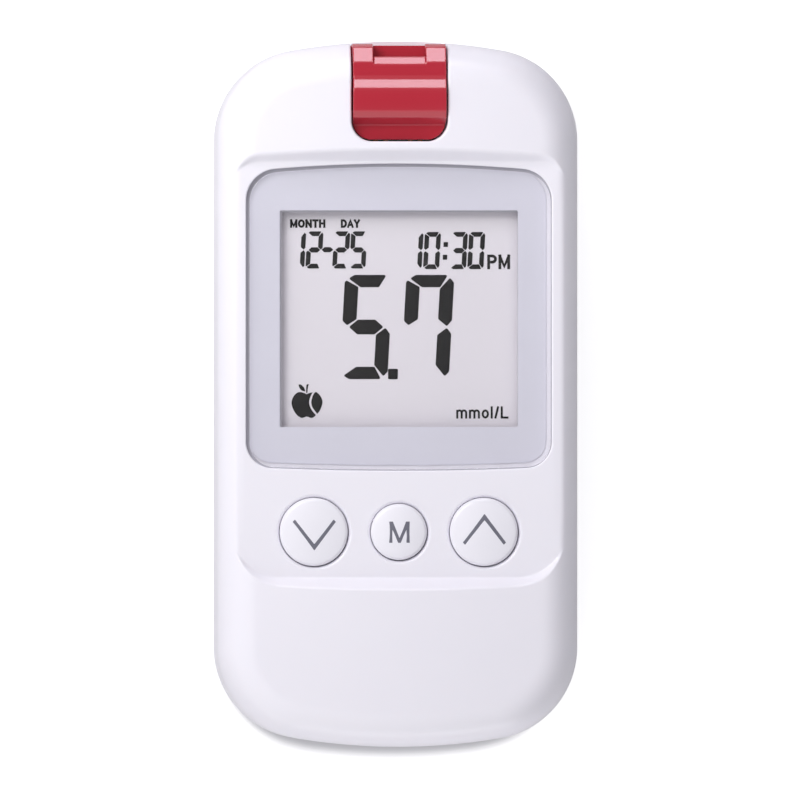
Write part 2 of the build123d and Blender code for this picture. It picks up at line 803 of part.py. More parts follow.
save(strip_pusher.part, "strip_pusher")

spring_start = (spring_offset, spring_start_y + spring_wire + pin_gap, spring_z)
spring_run = spring_end_y - spring_start_y - 2 * spring_wire - 2 * pin_gap
save(coil(spring_start, (0, 1, 0), spring_radius, spring_wire, spring_run, spring_turns), "ejector_spring")

# ================================================================ strip port
# Mouth under the slider's front end, with two rails beside the connector
rail_inner_x = connector_width / 2 + fit_gap
rail_x = (rail_inner_x + guide_half_width) / 2
rail_y = (guide_rear_y + carriage_rear_y) / 2
with BuildPart() as strip_guide:
    with BuildSketch(Plane.XY.offset(guide_z)):
        with Locations((0, (guide_front_y + guide_rear_y) / 2)):
            Rectangle(2 * guide_half_width, guide_length)
    extrude(amount=guide_top - guide_z)
    with BuildSketch(Plane.XY.offset(board_top)):
        with Locations((-rail_x, rail_y), (rail_x, rail_y)):
            Rectangle(guide_half_width - rail_inner_x, guide_rear_y - carriage_rear_y)
    extrude(amount=connector_height)
    with BuildSketch(Plane.XZ.offset(-guide_front_y)):
        with Locations((0, strip_z + strip_thickness / 2)):
            Rectangle(strip_slot_width, strip_thickness)
    extrude(amount=guide_length, mode=Mode.SUBTRACT)
    with BuildSketch(Plane.XZ.offset(-guide_front_y)):
        with Locations((0, strip_z + strip_thickness / 2)):
            Rectangle(strip_slot_width + 2 * mouth_flare, strip_thickness + mouth_flare)
    with BuildSketch(Plane.XZ.offset(-guide_front_y + 2 * mouth_flare)):
        with Locations((0, strip_z + strip_thickness / 2)):
            Rectangle(strip_slot_width, strip_thickness)
    loft(mode=Mode.SUBTRACT)
save(strip_guide.part, "strip_guide")

finger_slot_half = finger_width / 2 + slide_gap
finger_slot_y = strip_end_y + slider_travel + slide_gap
contact_xs = (-contact_outer_x, -contact_inner_x, contact_inner_x, contact_outer_x)
leaf_z = strip_z + strip_thickness + contact_thickness
leaf_front_y = connector_front_y - fit_gap - contact_width
groove_end_y = leaf_front_y + contact_width
with BuildPart() as strip_connector:
    with BuildSketch(Plane.XY.offset(board_top)):
        with Locations((0, (connector_front_y + connector_rear_y) / 2)):
            Rectangle(connector_width, connector_length)
    extrude(amount=connector_height)
    # the strip's slot, then the finger's
    with BuildSketch(Plane.XY.offset(strip_z)):
        with Locations((0, (connector_front_y + strip_end_y) / 2)):
            Rectangle(strip_slot_width, connector_front_y - strip_end_y)
    extrude(amount=strip_thickness, mode=Mode.SUBTRACT)
    with BuildSketch(Plane.XY.offset(strip_z)):
        with Locations((0, (connector_rear_y + finger_slot_y) / 2)):
            Rectangle(2 * finger_slot_half, finger_slot_y - connector_rear_y)
    extrude(amount=connector_height, mode=Mode.SUBTRACT)
    # a groove for each contact leaf, open at the rear
    with BuildSketch(Plane.XY.offset(strip_z + strip_thickness)):
        with Locations(*[(x, (connector_rear_y + groove_end_y) / 2) for x in contact_xs]):
            Rectangle(contact_width + 2 * fit_gap, groove_end_y - connector_rear_y)
    extrude(amount=leaf_groove, mode=Mode.SUBTRACT)
save(strip_connector.part, "strip_connector")

# Four bent leaves whose tails stand on the board behind the connector
with BuildPart() as strip_contacts:
    for leaf_x in contact_xs:
        with BuildSketch(Plane.YZ.offset(leaf_x - contact_width / 2)):
            with BuildLine():
                Polyline(
                    (connector_rear_y - leaf_tail_gap, board_top),
                    (connector_rear_y - leaf_tail_gap, leaf_z),
                    (leaf_front_y - leaf_run, leaf_z),
                    (leaf_front_y - contact_width, leaf_z - leaf_dip),
                    (leaf_front_y, leaf_z - leaf_dip / 2),
                )
            trace(line_width=contact_thickness)
        extrude(amount=contact_width)
save(strip_contacts.part, "strip_contacts")

# ================================================================ board and its parts
board_top_y = half_length - board_end_gap
board_bottom_y = board_tail - half_length
board_half_width = half_width - board_side_gap
with BuildPart() as main_board:
    with BuildSketch(Plane.XY.offset(board_z)):
        with Locations((0, (board_top_y + board_bottom_y) / 2)):
            RectangleRounded(2 * board_half_width, board_top_y - board_bottom_y, board_corner)
        with Locations(*case_screw_points):
            Circle(boss_radius + 2 * slide_gap, mode=Mode.SUBTRACT)
        with Locations(*board_screw_points):
            Circle(board_screw_radius + fit_gap, mode=Mode.SUBTRACT)
    extrude(amount=board_thickness)
save(main_board.part, "main_board")

chin_parts_y = chin_parts_end - half_length
chip_centre = (-chin_parts_x, chin_parts_y)
with BuildPart() as microcontroller:
    with BuildSketch(Plane.XY.offset(board_top + leg_thickness)):
        with Locations(chip_centre):
            Rectangle(chip_width, chip_width)
    extrude(amount=chip_height - leg_thickness)
    with BuildSketch(Plane.XY.offset(board_top)):
        with Locations(chip_centre):
            with GridLocations(leg_pitch, 0, leg_count, 1):
                Rectangle(leg_width, chip_width + 2 * chip_leg)
            with GridLocations(0, leg_pitch, 1, leg_count):
                Rectangle(chip_width + 2 * chip_leg, leg_width)
    extrude(amount=leg_height)
save(microcontroller.part, "microcontroller")

with BuildPart() as piezo_buzzer:
    with BuildSketch(Plane.XY.offset(board_top)):
        with Locations((chin_parts_x, chin_parts_y)):
            Circle(buzzer_radius)
    extrude(amount=buzzer_height)
    with BuildSketch(Plane.XY.offset(board_top + buzzer_height / 2)):
        with Locations((chin_parts_x, chin_parts_y)):
            Circle(buzzer_hole)
    extrude(amount=buzzer_height, mode=Mode.SUBTRACT)
save(piezo_buzzer.part, "piezo_buzzer")

with BuildPart() as smd_parts:
    with BuildSketch(Plane.XY.offset(board_top)):
        with Locations((0, button_y - small_part_drop)):
            with GridLocations(small_part_pitch, 0, small_part_count, 1):
                Rectangle(small_part_length, small_part_width)
    extrude(amount=small_part_height)
save(smd_parts.part, "smd_parts")

# ================================================================ cells and terminals
def dry_cell(x, start_y, heading):
    """One AAA cell along Y, whose nub points along heading, +1 or -1."""
    case_length = cell_length - nub_length
    case_start = start_y if heading > 0 else start_y + nub_length
    nub_start = start_y + case_length if heading > 0 else start_y
    with BuildPart() as cell:
        with BuildSketch(Plane.XZ.offset(-case_start)):
            with Locations((x, cell_axis_z)):
                Circle(cell_diameter / 2)
        extrude(amount=-case_length)
        fillet(cell.edges().filter_by(GeomType.CIRCLE), nub_length / 2)
        with BuildSketch(Plane.XZ.offset(-nub_start)):
            with Locations((x, cell_axis_z)):
                Circle(nub_radius)
        extrude(amount=-nub_length)
    return cell.part


save(dry_cell(-cell_x, cells_start_y + spring_length + fit_gap, 1), "battery_left")
save(dry_cell(cell_x, cells_start_y + fit_gap, -1), "battery_right")

plate_bottom_z = cell_axis_z - plate_height / 2
top_plate_y = bay_top_y - contact_plate
coil_start = cell_spring_wire - coil_root
spring_reach = spring_length - coil_start - cell_spring_wire


def terminal_plate(x):
    """A terminal plate on the bay's upper end wall, with its tail up to the board."""
    with BuildPart() as plate:
        with BuildSketch(Plane.XY.offset(plate_bottom_z)):
            with Locations((x, tail_y)):
                Rectangle(plate_width, contact_plate)
        extrude(amount=plate_height)
        with BuildSketch(Plane.XY.offset(plate_bottom_z)):
            with Locations((x, tail_y)):
                Rectangle(tail_width, contact_plate)
        extrude(amount=board_z - plate_bottom_z)
    return plate.part


save(terminal_plate(-cell_x), "positive_terminal")

negative_coil = coil(
    (cell_x, top_plate_y - coil_start, cell_axis_z),
    (0, -1, 0),
    cell_spring_radius,
    cell_spring_wire,
    spring_reach,
    cell_spring_turns,
)
with BuildPart() as negative_terminal:
    add(terminal_plate(cell_x))
    add(negative_coil)
save(negative_terminal.part, "negative_terminal")

bridge_coil = coil(
    (-cell_x, cells_start_y + coil_start, cell_axis_z),
    (0, 1, 0),
    cell_spring_radius,
    cell_spring_wire,
    spring_reach,
    cell_spring_turns,
)
with BuildPart() as bridge_contact:
    with BuildSketch(Plane.XY.offset(plate_bottom_z)):
        with Locations((0, cells_start_y - contact_plate / 2)):
            Rectangle(2 * cell_x + plate_width, contact_plate)
    extrude(amount=plate_height)
    add(bridge_coil)
save(bridge_contact.part, "bridge_contact")

# ================================================================ battery door
ear_x = door_half_width - hinge_ear_width
with BuildPart() as battery_door:
    # plate whose hinge end is rounded about the hinge's axis
    with BuildSketch(Plane.YZ.offset(-door_half_width)):
        with BuildLine():
            CenterArc((hinge_y, hinge_z), hinge_z, 180, 90)
            Polyline((hinge_y, 0), (door_top_y, 0), (door_top_y, wall), (hinge_y - hinge_z, wall))
        make_face()
    extrude(amount=2 * door_half_width)
    # ears and pins
    for side in (-1, 1):
        with BuildSketch(Plane.YZ.offset(side * ear_x)):
            with Locations((hinge_y, hinge_z)):
                Circle(hinge_ear_radius)
        extrude(amount=side * hinge_ear_width)
        with BuildSketch(Plane.YZ.offset(side * ear_x)):
            with Locations((hinge_y, hinge_z)):
                Circle(hinge_pin_radius)
        extrude(amount=side * (bay_half_width + hinge_pin_length - ear_x))
    # latch leg
    with BuildSketch(Plane.XY.offset(wall / 2)):
        with Locations((0, latch_y + latch_thickness / 2)):
            Rectangle(latch_width, latch_thickness)
    extrude(amount=wall / 2 + latch_height)
    with Locations((0, opening_top_y, dish_depth - dish_radius)):
        Sphere(dish_radius, mode=Mode.SUBTRACT)
save(battery_door.part, "battery_door")

# ================================================================ screws
def screws(points, seat_z, radius, head_radius, head_height, length):
    """Pan-head screws driven upwards from seats at one height, with crosses in their heads."""
    with BuildPart() as group:
        with BuildSketch(Plane.XY.offset(seat_z - head_height)):
            with Locations(*points):
                Circle(head_radius)
        extrude(amount=head_height)
        with BuildSketch(Plane.XY.offset(seat_z)):
            with Locations(*points):
                Circle(radius)
        extrude(amount=length)
        with BuildSketch(Plane.XY.offset(seat_z - head_height)):
            with Locations(*points):
                Rectangle(2 * recess_span * head_radius, recess_width)
                Rectangle(recess_width, 2 * recess_span * head_radius)
        extrude(amount=recess_depth * head_height, mode=Mode.SUBTRACT)
    return group.part


case_screws = screws(
    case_screw_points, head_seat, screw_radius, screw_head_radius, screw_head_height, screw_length
)
save(case_screws, "case_screws")
board_screws = screws(
    board_screw_points,
    board_z,
    board_screw_radius,
    board_screw_head,
    board_screw_head_height,
    board_screw_length,
)
save(board_screws, "board_screws")
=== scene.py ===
"""A handheld blood glucose meter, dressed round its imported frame.

Lengths are millimetres inside the classes and metres in the meshes. +X is to the right of the
display, +Y towards the strip port and +Z out of the display.
"""

import json
import logging
import math
from collections.abc import Callable, Iterable, Mapping, Sequence
from dataclasses import dataclass, field
from enum import Enum

import bmesh
import bpy
import numpy as np
from mathutils import Matrix, Vector
from mathutils.geometry import delaunay_2d_cdt

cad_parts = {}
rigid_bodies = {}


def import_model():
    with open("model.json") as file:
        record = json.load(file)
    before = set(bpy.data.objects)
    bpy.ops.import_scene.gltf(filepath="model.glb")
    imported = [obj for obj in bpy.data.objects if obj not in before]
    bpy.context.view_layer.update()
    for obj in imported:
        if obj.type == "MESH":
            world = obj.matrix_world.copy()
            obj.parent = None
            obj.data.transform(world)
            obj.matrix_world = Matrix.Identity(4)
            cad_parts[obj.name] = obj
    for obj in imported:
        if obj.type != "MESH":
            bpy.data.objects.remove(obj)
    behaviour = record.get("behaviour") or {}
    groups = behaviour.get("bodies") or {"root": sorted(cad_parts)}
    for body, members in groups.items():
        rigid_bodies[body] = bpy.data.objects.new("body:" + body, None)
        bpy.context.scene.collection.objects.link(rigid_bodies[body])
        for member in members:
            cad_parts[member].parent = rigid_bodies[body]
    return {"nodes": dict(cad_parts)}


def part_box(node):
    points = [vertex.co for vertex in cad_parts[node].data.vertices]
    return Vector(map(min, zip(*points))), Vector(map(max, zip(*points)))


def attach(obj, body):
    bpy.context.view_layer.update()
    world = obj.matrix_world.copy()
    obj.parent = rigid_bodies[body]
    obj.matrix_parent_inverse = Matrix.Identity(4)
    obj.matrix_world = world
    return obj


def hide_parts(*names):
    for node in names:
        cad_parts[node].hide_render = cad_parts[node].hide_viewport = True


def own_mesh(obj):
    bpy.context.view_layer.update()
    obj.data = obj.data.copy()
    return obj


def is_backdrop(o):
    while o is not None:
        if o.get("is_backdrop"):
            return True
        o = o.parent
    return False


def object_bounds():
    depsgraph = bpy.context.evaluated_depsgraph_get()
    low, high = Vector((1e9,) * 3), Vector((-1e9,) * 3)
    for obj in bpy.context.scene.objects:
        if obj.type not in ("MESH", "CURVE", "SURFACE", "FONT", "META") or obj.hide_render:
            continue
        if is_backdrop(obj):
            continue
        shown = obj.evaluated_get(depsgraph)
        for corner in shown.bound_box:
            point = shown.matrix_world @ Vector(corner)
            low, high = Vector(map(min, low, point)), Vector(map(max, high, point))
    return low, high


for leftover in list(bpy.data.objects):
    bpy.data.objects.remove(leftover)

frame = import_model()
CAD_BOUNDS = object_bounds()

LOG = logging.getLogger("meter")
MM = 0.001
SAME_POINT = 1e-5
NO_AREA = 1e-12
Colour = tuple[float, float, float]
Points = np.ndarray


class Body(Enum):
    """The moving bodies of the frame."""

    CASE = "case"
    DOWN = "down_button"
    MEMORY = "memory_button"
    UP = "up_button"
    EJECTOR = "ejector"
    DOOR = "door"


# ------------------------------------------------------------------ small helpers


def linear(red: int, green: int, blue: int) -> Colour:
    """Turns a display colour into a linear one.

    Args:
        red: Red, 0 to 255.
        green: Green, 0 to 255.
        blue: Blue, 0 to 255.

    Returns:
        The same colour as three linear values.
    """

    def channel(value: int) -> float:
        """Returns one channel as a linear value, by the sRGB formula."""
        share = value / 255
        return share / 12.92 if share <= 0.04045 else ((share + 0.055) / 1.055) ** 2.4

    return channel(red), channel(green), channel(blue)


def metres(lengths: tuple[float, float]) -> tuple[float, float]:
    """Returns two lengths in metres."""
    return lengths[0] * MM, lengths[1] * MM


def span(node: str) -> tuple[Vector, Vector]:
    """Returns the lowest and highest corner of a frame node, in millimetres."""
    low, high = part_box(node)
    return low / MM, high / MM


def smooth_max(first: Points, second: Points | float, width: Points | float) -> Points:
    """Returns the larger of two heights, rounded over a width where they meet."""
    blend = np.clip(width - np.abs(first - second), 0, None)
    return np.maximum(first, second) + blend**2 / (4 * width)


def smooth_min(first: Points, second: Points, width: Points | float) -> Points:
    """Returns the smaller of two heights, rounded over a width where they meet."""
    blend = np.clip(width - np.abs(first - second), 0, None)
    return np.minimum(first, second) - blend**2 / (4 * width)


def smooth_step(values: Points, low: float, high: float) -> Points:
    """Returns a soft ramp from 0 at low to 1 at high."""
    share = np.clip((values - low) / (high - low), 0, 1)
    return share * share * (3 - 2 * share)


def arc(centre: tuple[float, float], radius: float, start: float, end: float, step: float) -> Points:
    """Makes points along an arc.

    Args:
        centre: Middle of the arc.
        radius: Its radius.
        start: First angle, in radians.
        end: Last angle, in radians.
        step: Greatest distance between two points.

    Returns:
        The points, ends included.
    """
    count = max(2, math.ceil(abs(end - start) * radius / step) + 1)
    angles = np.linspace(start, end, count)
    return np.column_stack((centre[0] + radius * np.cos(angles), centre[1] + radius * np.sin(angles)))


def line(start: Sequence[float], end: Sequence[float], step: float) -> Points:
    """Returns points along a straight line, ends included, at most a step apart."""
    count = max(2, math.ceil(math.dist(start, end) / step) + 1)
    return np.linspace(start, end, count)


def joined(*runs: Points) -> Points:
    """Joins runs of points into one closed loop, without its repeated points."""
    loop = np.vstack(runs)
    keep = np.linalg.norm(loop - np.roll(loop, 1, axis=0), axis=1) > SAME_POINT
    return loop[keep]


def rounded(corners: Sequence[tuple[float, float]], radius: float, step: float) -> Points:
    """Rounds each corner of a closed outline.

    Args:
        corners: The outline's corners, in order.
        radius: Radius of each corner.
        step: Greatest distance between two points of an arc.

    Returns:
        The rounded outline.
    """
    runs = []
    count = len(corners)
    for index, corner in enumerate(corners):
        here = Vector(corner)
        back = (Vector(corners[index - 1]) - here).normalized()
        ahead = (Vector(corners[(index + 1) % count]) - here).normalized()
        half_angle = back.angle(ahead) / 2
        reach = radius / math.tan(half_angle)
        middle = here + (back + ahead).normalized() * (radius / math.sin(half_angle))
        first = here + back * reach - middle
        last = here + ahead * reach - middle
        start = math.atan2(first.y, first.x)
        turn = (math.atan2(last.y, last.x) - start + math.pi) % (2 * math.pi) - math.pi
        runs.append(arc(tuple(middle), radius, start, start + turn, step))
    return joined(*runs)


def inside(points: Points, loop: Points) -> Points:
    """Tells which points lie inside a closed loop."""
    x, y = points[:, 0], points[:, 1]
    result = np.zeros(len(points), bool)
    for (ax, ay), (bx, by) in zip(loop, np.roll(loop, -1, axis=0), strict=True):
        if ay == by:
            continue
        crosses = (ay > y) != (by > y)
        result ^= crosses & (x < (bx - ax) * (y - ay) / (by - ay) + ax)
    return result


# ------------------------------------------------------------------ plans


@dataclass(frozen=True)
class BowedPlan:
    """A rectangle whose upper and lower edges bow outwards, with rounded corners."""

    half: float
    top: float
    bottom: float
    top_bow: float
    bottom_bow: float
    top_corner: float
    bottom_corner: float

    def grown(self, by: float) -> "BowedPlan":
        """Returns the plan drawn out by a distance all round."""
        bends = (self.top_bow, self.bottom_bow, self.top_corner, self.bottom_corner)
        return BowedPlan(self.half + by, self.top + by, self.bottom - by, *(bend + by for bend in bends))

    def ends(self) -> tuple[tuple[float, float, float, float, float], ...]:
        """Returns (direction, bow centre, corner radius, corner x, corner y) of both ends."""
        found = []
        for way, edge, bow, corner in (
            (1, self.top, self.top_bow, self.top_corner),
            (-1, self.bottom, self.bottom_bow, self.bottom_corner),
        ):
            centre = edge - way * bow
            corner_x = self.half - corner
            corner_y = centre + way * math.sqrt((bow - corner) ** 2 - corner_x**2)
            found.append((way, centre, corner, corner_x, corner_y))
        return tuple(found)

    def distance(self, points: Points) -> Points:
        """Returns how far each point lies outside the plan, negative inside."""
        x, y = np.abs(points[:, 0]), points[:, 1]
        result = x - self.half
        (_, top_centre, *_), (_, bottom_centre, *_) = self.ends()
        upper = y > (self.top + self.bottom) / 2
        above = np.hypot(x, y - top_centre) - self.top_bow
        below = np.hypot(x, y - bottom_centre) - self.bottom_bow
        result = np.maximum(result, np.where(upper, above, below))
        for way, centre, corner, corner_x, corner_y in self.ends():
            across, along = x - corner_x, way * (y - corner_y)
            lean = way * (corner_y - centre)
            sector = (along >= 0) & (corner_x * along <= lean * across)
            result = np.where(sector, np.hypot(across, along) - corner, result)
        return result

    def outline(self, step: float) -> Points:
        """Returns the plan's closed outline, counter-clockwise from its lowest point."""
        (_, top_centre, top_corner, top_x, top_y), (_, low_centre, low_corner, low_x, low_y) = self.ends()
        low_angle = math.atan2(low_y - low_centre, low_x)
        top_angle = math.atan2(top_y - top_centre, top_x)
        right = np.vstack(
            (
                arc((0, low_centre), self.bottom_bow, -math.pi / 2, low_angle, step),
                arc((low_x, low_y), low_corner, low_angle, 0, step),
                line((self.half, low_y), (self.half, top_y), step),
                arc((top_x, top_y), top_corner, 0, top_angle, step),
                arc((0, top_centre), self.top_bow, top_angle, math.pi / 2, step),
            )
        )
        left = right[::-1] * (-1, 1)
        return joined(right, left)


@dataclass(frozen=True)
class RoundPlan:
    """A circle in plan."""

    x: float
    y: float
    radius: float

    def grown(self, by: float) -> "RoundPlan":
        """Returns the circle drawn out by a distance."""
        return RoundPlan(self.x, self.y, self.radius + by)

    def distance(self, points: Points) -> Points:
        """Returns how far each point lies outside the circle, negative inside."""
        return np.hypot(points[:, 0] - self.x, points[:, 1] - self.y) - self.radius

    def outline(self, step: float) -> Points:
        """Returns the circle's closed outline."""
        return joined(arc((self.x, self.y), self.radius, 0, 2 * math.pi, step)[:-1])


Plan = BowedPlan | RoundPlan


# ------------------------------------------------------------------ meshes


@dataclass
class Region:
    """A flat area, filled with triangles: loops laid over each other, less its holes.

    Attributes:
        outer: Closed loop, or several that may overlap.
        holes: Closed loops of the holes.
        inner: Further points to use inside the area.
    """

    outer: Points | list[Points]
    holes: list[Points] = field(default_factory=list)
    inner: Points = field(default_factory=lambda: np.zeros((0, 2)))

    def triangles(self) -> tuple[Points, Points]:
        """Fills the area.

        Returns:
            The points, and the triangles as rows of three indices, counter-clockwise.
        """
        outers = self.outer if isinstance(self.outer, list) else [self.outer]
        loops = [*outers, *self.holes]
        edges: list[tuple[int, int]] = []
        start = 0
        for loop in loops:
            count = len(loop)
            edges += [(start + i, start + (i + 1) % count) for i in range(count)]
            start += count
        everything = np.vstack((*loops, self.inner))
        found = delaunay_2d_cdt([Vector(p) for p in everything], edges, [], 0, 1e-6)
        points = np.array([tuple(v) for v in found[0]])
        faces = np.array([tuple(f) for f in found[2]])
        middle = points[faces].mean(axis=1)
        keep = np.any([inside(middle, outer) for outer in outers], axis=0)
        for hole in self.holes:
            keep &= ~inside(middle, hole)
        faces = faces[keep]
        used, faces = np.unique(faces, return_inverse=True)
        faces = faces.reshape(-1, 3)
        points = points[used]
        a, b, c = (points[faces[:, k]] for k in range(3))
        turn = (b - a)[:, 0] * (c - a)[:, 1] - (b - a)[:, 1] * (c - a)[:, 0]
        faces[turn < 0] = faces[turn < 0][:, ::-1]
        return points, faces[np.abs(turn) > NO_AREA]


def rim_edges(faces: Points) -> list[tuple[int, int]]:
    """Returns the edges that only one triangle uses, in that triangle's direction."""
    edges = {(a, b) for face in faces for a, b in zip(face, np.roll(face, -1), strict=True)}
    return sorted((int(a), int(b)) for a, b in edges if (b, a) not in edges)


def spread(groups: Iterable[tuple[Points, float]]) -> Points:
    """Thins groups of points, so that none lies too near an earlier one.

    Args:
        groups: Pairs of points and the least distance that each keeps from earlier points.

    Returns:
        The points that stay, without the first group's.
    """
    cell = 0.5
    grid: dict[tuple[int, int], list[tuple[float, float]]] = {}
    kept: list[tuple[float, float]] = []
    for number, (points, least) in enumerate(groups):
        reach = math.ceil(least / cell)
        for x, y in points:
            column, row = math.floor(x / cell), math.floor(y / cell)
            near = (
                other
                for i in range(column - reach, column + reach + 1)
                for j in range(row - reach, row + reach + 1)
                for other in grid.get((i, j), ())
            )
            if number and any(math.dist((x, y), other) < least for other in near):
                continue
            grid.setdefault((column, row), []).append((x, y))
            if number:
                kept.append((x, y))
    return np.array(kept)


def new_piece(
    name: str, vertices: Points, faces: Sequence[Sequence[int]], material: bpy.types.Material
) -> bpy.types.Object:
    """Makes an object from vertices in millimetres.

    Args:
        name: The piece's name.
        vertices: Rows of x, y and z in millimetres.
        faces: Vertex indices of each face, seen counter-clockwise from outside.
        material: The piece's material.

    Returns:
        The new object, linked to the scene.
    """
    mesh = bpy.data.meshes.new(name)
    mesh.from_pydata((np.asarray(vertices) * MM).tolist(), [], [list(map(int, f)) for f in faces])
    mesh.validate()
    piece = bpy.data.objects.new(name, mesh)
    bpy.context.scene.collection.objects.link(piece)
    mesh.materials.append(material)
    smooth(piece)
    return piece


def smooth(piece: bpy.types.Object, degrees: float = 32) -> None:
    """Shades a piece smooth, with its edges sharper than an angle kept hard."""
    piece.data.shade_smooth()
    piece.data.set_sharp_from_angle(angle=math.radians(degrees))


def slab(
    name: str,
    region: Region,
    top: Callable[[Points], Points],
    bottom: Callable[[Points], Points],
    material: bpy.types.Material,
) -> bpy.types.Object:
    """Makes a closed solid between two height functions over a flat area."""
    points, triangles = region.triangles()
    count = len(points)
    vertices = np.vstack([np.column_stack((points, height(points))) for height in (top, bottom)])
    faces = [tuple(t) for t in triangles]
    faces += [tuple(t[::-1] + count) for t in triangles]
    faces += [(a, a + count, b + count, b) for a, b in rim_edges(triangles)]
    return new_piece(name, vertices, faces, material)


def level(z: float) -> Callable[[Points], Points]:
    """Returns a height function that is flat."""
    return lambda points: np.full(len(points), z)


def lathe(
    name: str, centre: tuple[float, float], profile: Points, material: bpy.types.Material, sides: int
) -> bpy.types.Object:
    """Turns a profile of radius and height about an upright axis.

    Args:
        name: The piece's name.
        centre: Place of the axis.
        profile: Rows of radius and z from the top down to the bottom, both ends on the axis.
        material: The piece's material.
        sides: Number of steps round the axis.

    Returns:
        The closed piece.
    """
    angles = np.linspace(0, 2 * math.pi, sides, endpoint=False)
    ring = np.column_stack((np.cos(angles), np.sin(angles)))
    rows = [np.column_stack((centre + radius * ring, np.full(sides, z))) for radius, z in profile[1:-1]]
    top, bottom = ((*centre, profile[i][1]) for i in (0, -1))
    vertices = np.vstack((*rows, top, bottom))
    last = len(rows) * sides
    faces: list[tuple[int, ...]] = []
    for k in range(sides):
        ahead = (k + 1) % sides
        faces.append((last, k, ahead))
        faces.append((last + 1, last - sides + ahead, last - sides + k))
        for row in range(len(rows) - 1):
            base = row * sides
            faces.append((base + k, base + sides + k, base + sides + ahead, base + ahead))
    return new_piece(name, vertices, faces, material)


# Metres between points that are one, and degrees that count as flat or are added to a smooth edge
MERGE_DISTANCE = 1e-7
FLAT_ANGLE = 0.2
SHADE_MARGIN = 4


def softened(
    node: str,
    width: float,
    material: bpy.types.Material,
    name: str,
    segments: int = 3,
    least: float = 28,
    share: Callable[[Vector, Vector], float] = lambda start, end: 1.0,
) -> bpy.types.Object:
    """Copies a frame node and rounds its edges, with its flats shaded flat.

    Args:
        node: The frame node.
        width: Width of the rounding in millimetres.
        material: The copy's material.
        name: The copy's name.
        segments: Steps across the rounding.
        least: Least angle in degrees of an edge that is rounded.
        share: Gives each edge's share of the width, from its two ends in millimetres.

    Returns:
        The copy, with its modifiers applied.
    """
    mesh = frame["nodes"][node].data.copy()
    draft = bmesh.new()
    draft.from_mesh(mesh)
    bmesh.ops.remove_doubles(draft, verts=draft.verts, dist=MERGE_DISTANCE)
    flat = math.radians(FLAT_ANGLE)
    bmesh.ops.dissolve_limit(draft, angle_limit=flat, verts=draft.verts, edges=draft.edges)
    weights = draft.edges.layers.float.new("bevel_weight_edge")
    for edge in draft.edges:
        if edge.is_manifold and edge.calc_face_angle() > math.radians(least):
            edge[weights] = share(*(vertex.co / MM for vertex in edge.verts))
    draft.to_mesh(mesh)
    draft.free()
    if "custom_normal" in mesh.attributes:
        mesh.attributes.remove(mesh.attributes["custom_normal"])
    mesh.materials.clear()
    mesh.materials.append(material)
    copy = bpy.data.objects.new(name, mesh)
    bpy.context.scene.collection.objects.link(copy)
    rounding = copy.modifiers.new("rounding", "BEVEL")
    rounding.width = width * MM
    rounding.segments = segments
    rounding.limit_method = "WEIGHT"
    rounding.use_clamp_overlap = False
    rounding.harden_normals = False
    apply_modifiers(copy)
    smooth(copy, least + SHADE_MARGIN)
    even = copy.modifiers.new("even", "WEIGHTED_NORMAL")
    even.keep_sharp = True
    apply_modifiers(copy)
    return copy


def apply_modifiers(piece: bpy.types.Object) -> None:
    """Turns a piece's modifiers into its plain mesh."""
    graph = bpy.context.evaluated_depsgraph_get()
    result = bpy.data.meshes.new_from_object(piece.evaluated_get(graph))
    piece.modifiers.clear()
    piece.data = result


def combined(name: str, pieces: Sequence[bpy.types.Object]) -> bpy.types.Object:
    """Joins pieces into the first of them, under one name."""
    first = pieces[0]
    with bpy.context.temp_override(
        active_object=first, object=first, selected_objects=pieces, selected_editable_objects=pieces
    ):
        bpy.ops.object.join()
    first.name = name
    first.data.name = name
    return first


def settle(piece: bpy.types.Object, body: Body, slot: str, *replaced: str) -> bpy.types.Object:
    """Gives a piece its body and hides the frame nodes that it stands for."""
    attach(piece, body.value)
    if replaced:
        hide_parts(*replaced)
    LOG.info("%s rides on %s", piece.name, body.value)
    return piece


# ------------------------------------------------------------------ shader groups and finishes


